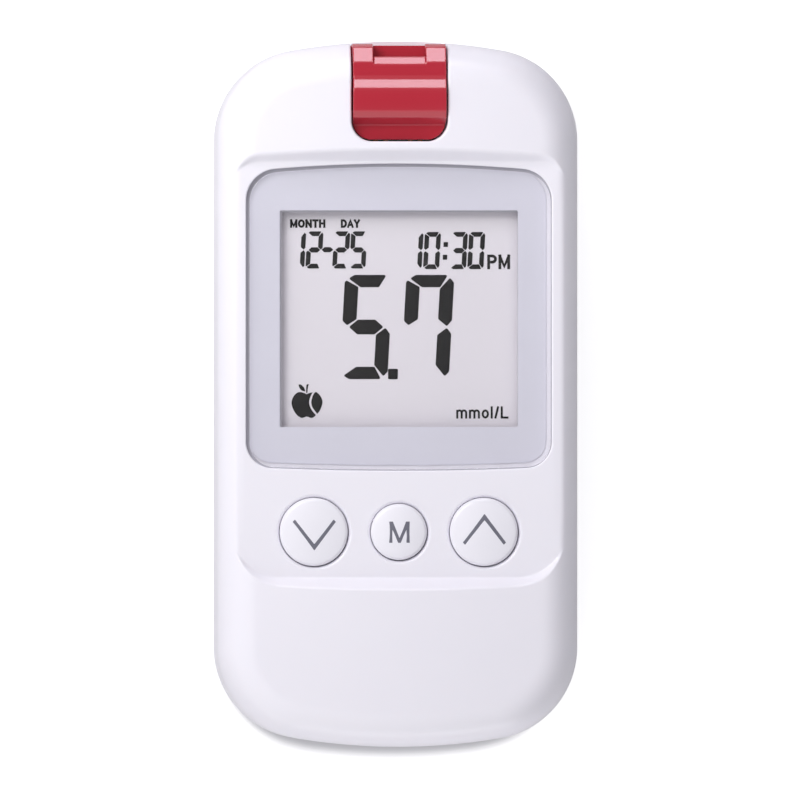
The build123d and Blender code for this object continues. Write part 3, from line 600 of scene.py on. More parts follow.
class Wiring:
    """Makes and links the nodes of one tree."""

    def __init__(self, tree: bpy.types.NodeTree) -> None:
        """Keeps the tree."""
        self.tree = tree

    def add(self, kind: str, **values: object) -> bpy.types.Node:
        """Adds a node of a type, sets its attributes and returns it."""
        node = self.tree.nodes.new(kind)
        for key, value in values.items():
            setattr(node, key, value)
        return node

    def put(self, node: bpy.types.Node, **inputs: object) -> bpy.types.Node:
        """Sets a node's inputs, or links them where a value is a socket.

        Args:
            node: The node.
            **inputs: Values by input name, with _ for a space, or n0, n1 and so on by number.

        Returns:
            The same node.
        """
        for key, value in inputs.items():
            by_number = key[0] == "n" and key[1:].isdigit()
            socket = node.inputs[int(key[1:]) if by_number else key.replace("_", " ")]
            if isinstance(value, bpy.types.NodeSocket):
                self.tree.links.new(value, socket)
            else:
                socket.default_value = value
        return node

    def math(
        self, operation: str, first: object, second: object = 0.0, third: object = None
    ) -> bpy.types.NodeSocket:
        """Returns the result of a maths node of up to three inputs."""
        node = self.put(self.add("ShaderNodeMath", operation=operation), n0=first, n1=second)
        if third is not None:
            self.put(node, n2=third)
        return node.outputs[0]

    def soft_range(
        self, value: object, source: tuple[float, float], target: tuple[float, float]
    ) -> bpy.types.NodeSocket:
        """Returns a value taken softly from one range to another."""
        node = self.add("ShaderNodeMapRange", interpolation_type="SMOOTHSTEP")
        self.put(node, Value=value, From_Min=source[0], From_Max=source[1])
        return self.put(node, To_Min=target[0], To_Max=target[1]).outputs[0]

    def mix_value(self, share: object, first: object, second: object) -> bpy.types.NodeSocket:
        """Adds nodes that go from a first number to a second one."""
        return self.math("ADD", first, self.math("MULTIPLY", share, self.math("SUBTRACT", second, first)))

    def mix(self, share: object, first: object, second: object) -> bpy.types.NodeSocket:
        """Returns a mix of two colours."""
        node = self.add("ShaderNodeMix", data_type="RGBA")
        return self.put(node, n0=share, n6=first, n7=second).outputs[2]

    def surface(self, share: object, first: bpy.types.Node, second: bpy.types.Node) -> None:
        """Makes a mix of two shaders the material's surface."""
        both = self.put(self.add("ShaderNodeMixShader"), n0=share, n1=first.outputs[0], n2=second.outputs[0])
        self.put(self.tree.nodes["Material Output"], Surface=both.outputs[0])


def opaque(colour: Colour) -> tuple[float, float, float, float]:
    """Returns a colour with full alpha."""
    return (*colour, 1.0)


def shader_group(
    name: str, inputs: Sequence[tuple[str, str, object]], outputs: Sequence[tuple[str, str]]
) -> tuple[Wiring, bpy.types.Node, bpy.types.Node]:
    """Starts a shared node group with named sockets.

    Args:
        name: The group's name.
        inputs: Name, socket type and default value of each input.
        outputs: Name and socket type of each output.

    Returns:
        The group's wiring, and its input and output nodes.
    """
    tree = bpy.data.node_groups.new(name, "ShaderNodeTree")
    for label, kind, value in inputs:
        socket = tree.interface.new_socket(label, in_out="INPUT", socket_type=kind)
        socket.default_value = value
    for label, kind in outputs:
        tree.interface.new_socket(label, in_out="OUTPUT", socket_type=kind)
    wiring = Wiring(tree)
    return wiring, wiring.add("NodeGroupInput"), wiring.add("NodeGroupOutput")


FLOAT, COLOUR = "NodeSocketFloat", "NodeSocketColor"
MOULDED_GROUP = "moulded_surface"


def moulded_group() -> None:
    """Builds the group for moulded matter: slow drift of tone, fine grain and faint flow marks."""
    wire, given, result = shader_group(
        MOULDED_GROUP,
        (
            ("Base", COLOUR, (0.8, 0.8, 0.8, 1)),
            ("Shade", COLOUR, (0.7, 0.7, 0.7, 1)),
            ("Roughness", FLOAT, 0.3),
            ("Roughness Drift", FLOAT, 0.05),
            ("Grain Scale", FLOAT, 4000.0),
            ("Drift Scale", FLOAT, 40.0),
        ),
        (("Color", COLOUR), ("Roughness", FLOAT), ("Height", FLOAT)),
    )
    place = wire.add("ShaderNodeTexCoord").outputs["Object"]

    def noise(scale: str, **values: float) -> bpy.types.NodeSocket:
        """Returns a noise whose scale is one of the group's inputs."""
        node = wire.add("ShaderNodeTexNoise")
        return wire.put(node, Vector=place, Scale=given.outputs[scale], **values).outputs["Fac"]

    slow = noise("Drift Scale", Detail=3.0)
    fine = noise("Grain Scale", Detail=2.0)
    flow = noise("Drift Scale", Detail=1.0, Distortion=1.5)
    share = wire.math("MULTIPLY", slow, slow)
    colour = wire.mix(share, given.outputs["Base"], given.outputs["Shade"])
    marks = wire.math("SUBTRACT", flow, 0.5)
    grained = wire.math("MULTIPLY_ADD", wire.math("SUBTRACT", fine, 0.5), 0.6, marks)
    rough = wire.math("MULTIPLY_ADD", grained, given.outputs["Roughness Drift"], given.outputs["Roughness"])
    wire.put(result, Color=colour, Roughness=rough, Height=fine)


# How deep red, green and blue light enter plastic, in millimetres
SKIN_DEPTHS = (1.0, 0.9, 0.85)


@dataclass(frozen=True)
class Moulded:
    """A finish of moulded or painted matter.

    Attributes:
        name: Material name.
        colour: Main display colour, each channel from 0 to 255.
        shade: Display colour that the main one drifts towards.
        roughness: Middle roughness.
        drift: How far the roughness wanders.
        grain: Grain depth in millimetres.
        grain_scale: Grain marks per metre.
        metallic: 1 for bare metal.
        coat: Weight of a clear gloss over the colour.
        coat_roughness: Roughness of that gloss.
        ior: Index of refraction.
        skin: Subsurface weight, for plastic that light enters a little.
    """

    name: str
    colour: tuple[int, int, int]
    shade: tuple[int, int, int]
    roughness: float = 0.3
    drift: float = 0.06
    grain: float = 0.002
    grain_scale: float = 3500.0
    metallic: float = 0.0
    coat: float = 0.0
    coat_roughness: float = 0.05
    ior: float = 1.5
    skin: float = 0.0

    def build(self) -> bpy.types.Material:
        """Builds the material."""
        material, wire, shader = new_material(self.name)
        group = wire.add("ShaderNodeGroup", node_tree=bpy.data.node_groups[MOULDED_GROUP])
        wire.put(group, Base=opaque(linear(*self.colour)), Shade=opaque(linear(*self.shade)))
        wire.put(group, Roughness=self.roughness, Roughness_Drift=self.drift, Grain_Scale=self.grain_scale)
        colour, rough, height = (group.outputs[name] for name in ("Color", "Roughness", "Height"))
        bump = wire.put(wire.add("ShaderNodeBump"), Height=height, Distance=self.grain * MM, Strength=1.0)
        wire.put(shader, Base_Color=colour, Roughness=rough, Normal=bump.outputs[0])
        wire.put(shader, Metallic=self.metallic, IOR=self.ior)
        wire.put(shader, Coat_Weight=self.coat, Coat_Roughness=self.coat_roughness)
        if self.skin:
            wire.put(shader, Subsurface_Weight=self.skin, Subsurface_Scale=MM)
            wire.put(shader, Subsurface_Radius=SKIN_DEPTHS)
        return material


def new_material(name: str) -> tuple[bpy.types.Material, Wiring, bpy.types.Node]:
    """Starts a material with one shader; returns the material, its wiring and that shader."""
    material = bpy.data.materials.new(name)
    material.use_nodes = True
    tree = material.node_tree
    return material, Wiring(tree), tree.nodes["Principled BSDF"]


@dataclass(frozen=True)
class Clear:
    """A clear finish that lets light through to what lies under it."""

    name: str
    colour: Colour
    ior: float = 1.49
    roughness: float = 0.0

    def build(self) -> bpy.types.Material:
        """Builds the material, open to shadow rays."""
        material, wire, shader = new_material(self.name)
        wire.put(shader, Base_Color=opaque(self.colour), Transmission_Weight=1.0)
        wire.put(shader, Roughness=self.roughness, IOR=self.ior)
        open_way = wire.put(wire.add("ShaderNodeBsdfTransparent"), Color=opaque(self.colour))
        path = wire.add("ShaderNodeLightPath")
        share = wire.math("MAXIMUM", path.outputs["Is Shadow Ray"], path.outputs["Is Diffuse Ray"])
        wire.surface(share, shader, open_way)
        return material


@dataclass(frozen=True)
class Jacket:
    """The sleeve of a dry cell: two colours and metal ends, along one direction.

    Attributes:
        name: Material name.
        start: Y of the cell's base end, in millimetres.
        heading: 1 or -1, the way that its nub points.
        length: Whole length of the cell.
        sleeve: Colour of the longer part.
        band: Colour of the part near the nub.
        metal: Colour of the bare ends.
        band_from: Share of the length at which the band starts.
        end_margin: Share of the length that is bare at each end.
        roughness: Least roughness.
        grime: How much rougher the roughest spots are.
        grime_scale: Grime spots per metre.
    """

    name: str
    start: float
    heading: int
    length: float
    sleeve: Colour = linear(46, 50, 58)
    band: Colour = linear(196, 140, 74)
    metal: Colour = linear(190, 190, 194)
    band_from: float = 0.72
    end_margin: float = 0.016
    roughness: float = 0.22
    grime: float = 0.12
    grime_scale: float = 260.0

    def build(self) -> bpy.types.Material:
        """Builds the material."""
        material, wire, shader = new_material(self.name)
        place = wire.add("ShaderNodeTexCoord").outputs["Object"]
        along = wire.put(wire.add("ShaderNodeSeparateXYZ"), Vector=place).outputs["Y"]
        rate = self.heading / (self.length * MM)
        share = wire.math("MULTIPLY_ADD", along, rate, -self.heading * self.start / self.length)
        band = wire.math("GREATER_THAN", share, self.band_from)
        off_middle = wire.math("ABSOLUTE", wire.math("SUBTRACT", share, 0.5))
        ends = wire.math("GREATER_THAN", off_middle, 0.5 - self.end_margin)
        wrap = wire.mix(band, opaque(self.sleeve), opaque(self.band))
        spots = wire.put(wire.add("ShaderNodeTexNoise"), Vector=place, Scale=self.grime_scale)
        rough = wire.math("MULTIPLY_ADD", spots.outputs["Fac"], self.grime, self.roughness)
        wire.put(shader, Base_Color=wire.mix(ends, wrap, opaque(self.metal)), Metallic=ends, Roughness=rough)
        return material


WHITE = (244, 242, 250)
WHITE_SHADE = (241, 239, 248)

FINISHES = (
    Moulded("case_white", WHITE, WHITE_SHADE, 0.32, 0.04, 0.0006, coat=0.2, coat_roughness=0.22, skin=0.08),
    Moulded("cap_white", (242, 241, 248), WHITE_SHADE, 0.26, 0.03, 0.0006),
    Moulded("carriage_white", WHITE, WHITE_SHADE, 0.4),
    Moulded(
        "ejector_red", (184, 43, 60), (177, 37, 53), 0.24, 0.04, 0.001, coat=0.55, coat_roughness=0.12
    ),
    Moulded("icon_grey", (112, 112, 124), (104, 104, 118), 0.5),
    Moulded(
        "silver_mask", (219, 218, 230), (213, 212, 225), 0.42, 0.08, 0.0008, grain_scale=9000.0, metallic=0.08
    ),
    Moulded("display_face", (229, 225, 232), (225, 221, 228), 0.5, 0.03, 0.0004),
    Moulded("segment_black", (5, 3, 5), (4, 2, 4), 0.75, grain=0.0003),
    # Grey for painted shade: the bead in the gap round the lens and the frame along the window's upper and
    # left edges
    Moulded("seal_grey", (176, 174, 184), (166, 164, 174), 0.6),
    Moulded("display_reflector", (206, 208, 210), (196, 198, 200), 0.35, metallic=0.6),
    Moulded("black_frame", (34, 34, 37), (26, 26, 29), 0.45),
    Moulded("black_rubber", (40, 40, 42), (30, 30, 32), 0.7),
    Moulded("switch_black", (30, 30, 33), (24, 24, 27), 0.4),
    Moulded("plunger_grey", (120, 122, 128), (108, 110, 116), 0.45),
    Moulded("gold_contact", (214, 170, 92), (196, 150, 76), 0.25, grain=0.0005, metallic=1.0),
    Moulded("spring_steel", (196, 196, 200), (170, 171, 176), 0.25, grain=0.0005, metallic=1.0),
    Moulded("board_green", (28, 96, 62), (20, 78, 50), 0.35, grain=0.004, grain_scale=900.0, coat=0.3),
    Moulded("chip_black", (38, 38, 40), (30, 30, 32), 0.5),
    Moulded("terminal_nickel", (206, 204, 196), (186, 184, 176), 0.28, metallic=1.0),
    Moulded("screw_steel", (150, 151, 156), (120, 121, 126), 0.32, metallic=1.0),
)


@dataclass
class Paints:
    """Every finish of the meter, built once and found by name."""

    made: dict[str, bpy.types.Material] = field(default_factory=dict)

    def build(self) -> "Paints":
        """Builds the shared group and all the finishes."""
        moulded_group()
        for finish in (*FINISHES, Clear("clear_lens", (1.0, 1.0, 1.0))):
            self.made[finish.name] = finish.build()
        return self

    def __getitem__(self, name: str) -> bpy.types.Material:
        """Returns the finish of that name."""
        return self.made[name]


# ------------------------------------------------------------------ case


# The bow of the case's ends, its corners, an almost straight bow, a screw's head, a cap's flange
END_RADIUS = 80.0
CASE_CORNER = 12.0
STRAIGHT = 10000.0
SCREW_HEAD = 1.9
CAP_FLANGE = 0.8


def case_plan(low: Vector, high: Vector) -> BowedPlan:
    """Returns the case's plan between two corners of its box."""
    return BowedPlan(high.x, high.y, low.y, END_RADIUS, END_RADIUS, CASE_CORNER, CASE_CORNER)


@dataclass
class FrontShell:
    """The upper shell: hood, sunken tray and chin, with its openings.

    A crest is the rounding at the top of the step into the tray, and a foot the one at its foot. A
    field with two values is the stretch over which something fades in.
    """

    paints: Paints
    edge: float = 5.0
    crown_radius: float = 190.0
    wall: float = 1.6
    seam_chamfer: float = 0.15
    tray_z: float = 19.0
    tray_half: float = 22.2
    tray_top: float = 30.33
    tray_bottom: float = -24.0
    tray_top_corner: float = 4.0
    tray_bottom_corner: float = 7.0
    hood_slope: float = 1.25
    chin_slope: float = 1.35
    lens_top_bow: float = 190.0
    lens_bottom_bow: float = 400.0
    lens_top_corner: float = 4.0
    lens_bottom_corner: float = 3.3
    lens_gap: float = 0.15
    button_gap: float = 0.09
    channel_gap: float = 0.2
    channel_corner: float = 2.5
    port_floor: float = 13.1
    rail_z: float = 17.4
    rail_wall: float = 1.2
    rail_front: float = 1.2
    rail_cover: float = 0.4
    rail_rise: float = 0.6
    ledge_z: float = 16.6
    ledge_reach: float = 0.25
    ledge_margin: float = 1.0
    boss_radius: float = 2.2
    boss_bore: float = 1.05
    boss_cover: float = 0.8
    boss_gap: float = 0.1
    lens_lip: float = 0.18
    button_lip: float = 0.5
    channel_lip: float = 0.3
    hood_crest: float = 0.42
    chin_crest: float = 0.3
    side_crest: float = 0.3
    hood_foot: float = 0.25
    chin_foot: float = 0.25
    fall: float = 0.08
    fall_reach: tuple[float, float] = (20.1, 21.3)
    fall_low: tuple[float, float] = (-21.0, -15.0)
    fall_high: tuple[float, float] = (-28.0, -24.0)
    hood_reach: tuple[float, float] = (22.0, 28.0)
    chin_reach: tuple[float, float] = (16.0, 22.0)
    turn_in: float = 3.0
    shoulder_steps: int = 14
    rim_step: float = 0.5
    opening_step: float = 0.35
    lip_rings: tuple[float, ...] = (0.12, 0.4, 1.0, 2.4)
    step_rings: tuple[float, float, float] = (-2.25, 3.6, 0.13)
    grid_half: float = 50.0
    grid_step: float = 0.8
    edge_gap: float = 0.004

    def __post_init__(self) -> None:
        """Works the plans out from the frame."""
        low, high = span("front_cover")
        self.top_z = high.z
        self.seam_z = low.z
        self.plan = case_plan(low, high)
        corners = (self.tray_top_corner, self.tray_bottom_corner)
        self.tray = BowedPlan(self.tray_half, self.tray_top, self.tray_bottom, STRAIGHT, STRAIGHT, *corners)
        low, high = span("display_lens")
        bends = (self.lens_top_bow, self.lens_bottom_bow, self.lens_top_corner, self.lens_bottom_corner)
        self.lens = BowedPlan(high.x, high.y, low.y, *bends)
        self.pocket = self.lens.grown(self.lens_gap)
        self.buttons = [round_cap(name).grown(self.button_gap) for name in ("down", "memory", "up")]
        low, high = span("eject_slider")
        bend = self.channel_corner
        slider = BowedPlan(high.x, high.y + CASE_CORNER, low.y, STRAIGHT, STRAIGHT, bend, bend)
        self.channel = slider.grown(self.channel_gap)

    def height(self, points: Points) -> Points:
        """Returns the height of the shell's outer face over each point."""
        x, y = points[:, 0], points[:, 1]
        depth = np.clip(-self.plan.distance(points), 0, None)
        crown = self.top_z - self.crown_radius + np.sqrt(self.crown_radius**2 - x**2)
        lean = np.clip(self.edge - depth, 0, self.edge)
        outer = crown - self.edge + np.sqrt(self.edge**2 - lean**2)
        hood = smooth_step(y, *self.hood_reach)
        chin = smooth_step(-y, *self.chin_reach)
        side = self.side_crest
        crest = side + hood * (self.hood_crest - side) + chin * (self.chin_crest - side)
        foot = np.where(y > 0, self.hood_foot, self.chin_foot)
        slope = np.where(y > 0, self.hood_slope, self.chin_slope)
        along = smooth_step(y, *self.fall_low) * smooth_step(-y, *self.fall_high)
        fall = self.fall * along * smooth_step(np.abs(x), *self.fall_reach)
        step = self.tray_z + smooth_max(slope * self.tray.distance(points), 0.0, foot) - fall
        height = smooth_min(outer, step, crest)
        for plan, lip in self.openings():
            gap = np.clip(lip - plan.distance(points), 0, lip)
            height = height - lip + np.sqrt(lip**2 - gap**2)
        return height

    def openings(self) -> list[tuple[Plan, float]]:
        """Returns each opening with the radius of its lip."""
        buttons = [(button, self.button_lip) for button in self.buttons]
        return [(self.pocket, self.lens_lip), (self.channel, self.channel_lip), *buttons]

    def normals(self, points: Points) -> Points:
        """Returns the outer face's normal over each point."""
        margin, reach = 0.02, 0.01
        moved = points.copy()
        for plan, sign in ((self.plan, -1), *((opening, 1) for opening, _ in self.openings())):
            distance = sign * plan.distance(moved)
            slope = sign * gradient(plan.distance, moved, reach)
            short = np.clip(margin - distance, 0, None)[:, None]
            moved = moved + slope * np.where(short > 0, short, 0)
        slope = gradient(self.height, moved, reach / 2)
        normal = np.column_stack((-slope, np.ones(len(points))))
        return normal / np.linalg.norm(normal, axis=1)[:, None]

    def rim(self) -> Points:
        """Returns the outer loop: the case's outline with the slider's channel cut in."""
        outline = self.plan.outline(self.rim_step)
        half = self.channel.half
        (_, centre, *_), _ = self.plan.ends()
        tip = centre + math.sqrt(END_RADIUS**2 - half**2)
        turn = int(np.argmax(outline[:, 1]))
        right, left = outline[:turn], outline[turn:]
        clear = 0.1
        right = right[(right[:, 1] < 0) | (right[:, 0] > half + clear)]
        left = left[(left[:, 1] < 0) | (left[:, 0] < -half - clear)]
        corner = self.channel.bottom_corner
        rear = self.channel.bottom
        step = self.rim_step
        channel = np.vstack(
            (
                line((half, tip), (half, rear + corner), step),
                arc((half - corner, rear + corner), corner, 0, -math.pi / 2, step / 2),
                line((half - corner, rear), (corner - half, rear), step),
                arc((corner - half, rear + corner), corner, -math.pi / 2, -math.pi, step / 2),
                line((-half, rear + corner), (-half, tip), step),
            )
        )
        return joined(right, channel, left)

    def region(self) -> Region:
        """Returns the shell's plan with dense points where its face bends."""
        rim = self.rim()
        holes = [plan.outline(self.opening_step) for plan in (self.pocket, *self.buttons)]
        slot = rim[np.abs(self.channel.distance(rim)) < 0.01]
        groups: list[tuple[Points, float]] = []
        for (plan, lip), edge in zip(self.openings(), (holes[0], slot, *holes[1:]), strict=True):
            for share in self.lip_rings:
                groups.append((moved_out(edge, plan, lip * share), min(0.05, lip * 0.1)))
        outline = self.plan.outline(self.rim_step)
        for number in range(1, self.shoulder_steps + 1):
            angle = math.pi / 2 * number / self.shoulder_steps
            ring = moved_out(outline, self.plan, -self.edge * (1 - math.cos(angle)))
            groups.append((ring, 0.1 if number > 2 else 0.02))
        outline = self.tray.outline(0.4)
        for offset in np.arange(*self.step_rings):
            groups.append((moved_out(outline, self.tray, float(offset)), 0.09))
        spots = np.arange(-self.grid_half, self.grid_half, self.grid_step)
        stagger = self.grid_step / 2
        grid = [(x + row % 2 * stagger, y) for row, y in enumerate(spots * 0.9) for x in spots]
        groups.append((np.array(grid), 0.45))
        on_shell = [(self.within(points), least) for points, least in groups]
        return Region(rim, holes, spread([(np.vstack((rim, *holes)), 0.0), *on_shell]))

    def within(self, points: Points) -> Points:
        """Returns the points that lie on the shell, clear of its edges."""
        keep = self.plan.distance(points) < -self.edge_gap
        for plan, _ in self.openings():
            keep &= plan.distance(points) > self.edge_gap
        return points[keep]

    def build(self) -> bpy.types.Object:
        """Builds the shell with its inner walls, and lets it replace the plain cover."""
        points, triangles = self.region().triangles()
        count = len(points)
        top = np.column_stack((points, self.height(points)))
        depth = np.clip(-self.plan.distance(points), 0, None)
        inward = -gradient(self.plan.distance, points, 0.01)
        near = np.clip(1 - depth / self.turn_in, 0, 1)[:, None]
        under = top[:, 2] - self.wall * (1 - near[:, 0])
        inner = np.column_stack((points + inward * near * self.wall, under))
        vertices = [*top, *inner]
        faces: list[tuple[int, ...]] = [tuple(t) for t in triangles]
        faces += [tuple(t[::-1] + count) for t in triangles]
        outer = set(np.flatnonzero(depth < 1e-3).tolist())
        columns: dict[int, list[int]] = {}
        edges = rim_edges(triangles)
        for index in sorted({i for edge in edges for i in edge}):
            column = [index]
            if index in outer:
                for inset, z in ((0.0, self.seam_chamfer), (self.seam_chamfer, 0.0), (self.wall, 0.0)):
                    column.append(len(vertices))
                    place = points[index] + inward[index] * inset
                    vertices.append(np.array((*place, self.seam_z + z)))
            columns[index] = [*column, index + count]
        for a, b in edges:
            first, second = columns[a], columns[b]
            if len(first) == len(second):
                steps = range(len(first) - 1)
                faces += [(first[k], first[k + 1], second[k + 1], second[k]) for k in steps]
            else:
                faces.append((*first, *reversed(second)))
        shell = new_piece("front_shell", np.array(vertices), faces, self.paints["case_white"])
        self.shade(shell, count, self.normals(points))
        whole = combined("front_shell", [shell, *self.inner_parts()])
        return settle(whole, Body.CASE, "case_white", "front_cover")

    def shade(self, shell: bpy.types.Object, count: int, normals: Points) -> None:
        """Gives the outer face its exact normals.

        Args:
            shell: The shell.
            count: Number of its vertices that lie on the outer face.
            normals: The normals of those vertices.
        """
        mesh = shell.data
        loops = np.zeros((len(mesh.loops), 3))
        for polygon in mesh.polygons:
            corners = mesh.loops[polygon.loop_start : polygon.loop_start + polygon.loop_total]
            indices = [corner.vertex_index for corner in corners]
            if len(indices) == 3 and max(indices) < count:
                loops[list(polygon.loop_indices)] = normals[indices]
        mesh.normals_split_custom_set(loops.tolist())

    def inner_parts(self) -> list[bpy.types.Object]:
        """Builds the lens ledge, the channel's walls, the screw bosses and the wall under the port."""
        white = self.paints["case_white"]
        window = Window.measured().grown(self.ledge_margin)
        ledge = slab(
            "ledge",
            Region(self.lens.grown(self.ledge_reach).outline(1.0), [window.outline(0.5)[::-1]]),
            level(span("lens_mask")[0].z),
            level(self.ledge_z),
            white,
        )
        return [ledge, self.rails(white), self.port_wall(white), *self.bosses(white)]

    def rails(self, white: bpy.types.Material) -> bpy.types.Object:
        """Builds the walls of the slider's channel."""
        half, rear, corner = self.channel.half, self.channel.bottom, self.channel.bottom_corner
        front = self.plan.top - self.rail_front
        thick = self.rail_wall
        rails = joined(
            line((half, front), (half, rear + corner), 0.5),
            arc((half - corner, rear + corner), corner, 0, -math.pi / 2, 0.4),
            arc((corner - half, rear + corner), corner, -math.pi / 2, -math.pi, 0.4),
            line((-half, rear + corner), (-half, front), 0.5),
            line((-half - thick, front), (-half - thick, rear + corner), 0.5),
            arc((corner - half, rear + corner), corner + thick, math.pi, 1.5 * math.pi, 0.4),
            arc((half - corner, rear + corner), corner + thick, -math.pi / 2, 0, 0.4),
            line((half + thick, rear + corner), (half + thick, front), 0.5),
        )
        return slab(
            "channel_walls",
            Region(rails[::-1]),
            lambda points: np.minimum(self.height(points) - self.rail_cover, self.tray_z + self.rail_rise),
            level(self.rail_z),
            white,
        )

    def port_wall(self, white: bpy.types.Material) -> bpy.types.Object:
        """Builds the wall under the port, at the channel's open end."""
        loops = [self.plan.outline(0.5), self.plan.grown(-self.wall).outline(0.5)]
        half = self.channel.half
        outer, inner = (loop[(loop[:, 1] > 0) & (np.abs(loop[:, 0]) <= half)] for loop in loops)
        region = Region(np.vstack((outer, inner[::-1])))
        return slab("port_wall", region, level(self.port_floor), level(self.seam_z), white)

    def bosses(self, white: bpy.types.Material) -> list[bpy.types.Object]:
        """Builds the bosses that the case's screws enter."""
        _, high = span("case_screws")
        x, y = high.x - SCREW_HEAD, high.y - SCREW_HEAD
        found = []
        for spot in ((x, y), (-x, y), (x, -y), (-x, -y)):
            outline = RoundPlan(*spot, self.boss_radius).outline(0.4)
            bore = RoundPlan(*spot, self.boss_bore).outline(0.3)
            found.append(
                slab(
                    "boss",
                    Region(outline, [bore[::-1]]),
                    lambda points: self.height(points) - self.boss_cover,
                    level(self.seam_z + self.boss_gap),
                    white,
                )
            )
        return found


def gradient(function: Callable[[Points], Points], points: Points, reach: float) -> Points:
    """Returns a function's slope along X and Y at each point."""
    across = (function(points + (reach, 0)) - function(points - (reach, 0))) / (2 * reach)
    along = (function(points + (0, reach)) - function(points - (0, reach))) / (2 * reach)
    return np.column_stack((across, along))


def moved_out(points: Points, plan: Plan, away: float) -> Points:
    """Returns points moved straight out of a plan, so that rings made from one edge line up."""
    return points + gradient(plan.distance, points, 0.004) * away


def round_cap(name: str) -> RoundPlan:
    """Returns the plan of a button's cap, without its flange."""
    low, high = span(f"{name}_button")
    return RoundPlan((low.x + high.x) / 2, (low.y + high.y) / 2, (high.x - low.x) / 2 - CAP_FLANGE)


# Widths of the silver mask beside, above and below its window
MASK_SIDE, MASK_TOP, MASK_BOTTOM = 4.26, 5.95, 5.55
WINDOW_CORNER = 0.12


@dataclass(frozen=True)
class Window:
    """The display window in the silver mask, a rectangle with small round corners."""

    half: float
    top: float
    bottom: float
    corner: float

    @classmethod
    def measured(cls) -> "Window":
        """Works the window out from the mask and its margins."""
        low, high = span("lens_mask")
        return cls(high.x - MASK_SIDE, high.y - MASK_TOP, low.y + MASK_BOTTOM, WINDOW_CORNER)

    def grown(self, by: float) -> "Window":
        """Returns the window drawn out by a distance."""
        return Window(self.half + by, self.top + by, self.bottom - by, self.corner + by)

    def outline(self, step: float) -> Points:
        """Returns the window's closed outline."""
        half, top, bottom = self.half, self.top, self.bottom
        corners = ((half, bottom), (half, top), (-half, top), (-half, bottom))
        return rounded(corners, self.corner, step)


# ------------------------------------------------------------------ display


class Segment(Enum):
    """The seven bars of a digit."""

    TOP = "a"
    UPPER_RIGHT = "b"
    LOWER_RIGHT = "c"
    BOTTOM = "d"
    LOWER_LEFT = "e"
    UPPER_LEFT = "f"
    MIDDLE = "g"


@dataclass(frozen=True)
class DigitStyle:
    """The size of a digit of seven bars.

    Attributes:
        width: Whole width of a digit.
        height: Whole height.
        upright: Width of an upright bar.
        level: Height of the top and bottom bars.
        middle: Height of the middle bar.
        round: Radius of the bars' corners.
        slant: How far a digit leans for each millimetre of height.
    """

    width: float
    height: float
    upright: float
    level: float
    middle: float
    round: float
    slant: float = 0.055

    def bars(self) -> dict[Segment, list[tuple[float, float]]]:
        """Returns each bar's corners, from the digit's lower left corner, tips first."""
        w, h, u, v, m = self.width, self.height, self.upright, self.level, self.middle
        top = [
            (0.26 * u, h - 0.28 * v), (0.7 * u, h), (w - 0.46 * u, h), (w - 0.97 * u, h - v),
            (1.16 * u, h - v),
        ]
        upper_left = [
            (0.12 * u, h - 0.44 * v), (u, h - 0.98 * v), (u, h / 2 + 0.53 * m),
            (0.34 * u, h / 2 + 0.12 * m), (0, h / 2 + 0.42 * m), (0, h - 0.6 * v),
        ]
        upper_right = [
            (w - 0.3 * u, h - 0.22 * v), (w, h - 0.62 * v), (w, h / 2 + 0.46 * m),
            (w - 0.34 * u, h / 2 + 0.05 * m), (w - u, h / 2 + 0.54 * m), (w - u, h - 1.15 * v),
        ]
        middle = [
            (0.48 * u, h / 2), (1.1 * u, h / 2 + m / 2), (w - 1.1 * u, h / 2 + m / 2),
            (w - 0.48 * u, h / 2), (w - 1.1 * u, h / 2 - m / 2), (1.1 * u, h / 2 - m / 2),
        ]

        def flipped(corners: list[tuple[float, float]]) -> list[tuple[float, float]]:
            """Returns a bar upside down."""
            return [(x, h - y) for x, y in reversed(corners)]

        return {
            Segment.TOP: top,
            Segment.BOTTOM: flipped(top),
            Segment.UPPER_LEFT: upper_left,
            Segment.LOWER_LEFT: flipped(upper_left),
            Segment.UPPER_RIGHT: upper_right,
            Segment.LOWER_RIGHT: flipped(upper_right),
            Segment.MIDDLE: middle,
        }


GLYPHS = {"0": "abcdef", "1": "bc", "2": "abged", "3": "abgcd", "5": "afgcd", "7": "fabc", "-": "g"}

# The digits, the places of their lower left corners, and the other marks, about the window's middle
BIG_DIGITS = (("5", -7.69, -7.87), ("7", 0.32, -7.87))
DASH = ("-", -10.43, 6.58)
DATE = (("1", -14.38, 6.55), ("2", -12.13, 6.55), ("2", -8.63, 6.55), ("5", -6.4, 6.55))
TIME = (("1", 0.94, 6.47), ("0", 3.22, 6.47), ("3", 6.73, 6.47), ("0", 9.0, 6.47))
DECIMAL_POINT = ((-0.06, -7.89), (-0.04, -6.53), (-1.32, -6.53), (-1.34, -7.89))
COLON_PLACES = ((5.9, 9.36), (5.8, 7.7))
COLON_DOT = ((0.58, 0.0), (0.6, 0.64), (0.02, 0.64), (0.0, 0.0))

# Each word, the middles of its first and last stroke, its base line, its height and its stroke
WORDS = (
    ("MONTH", -13.98, -9.65, 11.99, 0.83, 0.28),
    ("DAY", -7.36, -5.12, 11.99, 0.83, 0.28),
    ("PM", 11.8, 14.42, 6.65, 1.53, 0.37),
    ("mmol/L", 7.7, 14.26, -12.88, 1.24, 0.27),
)

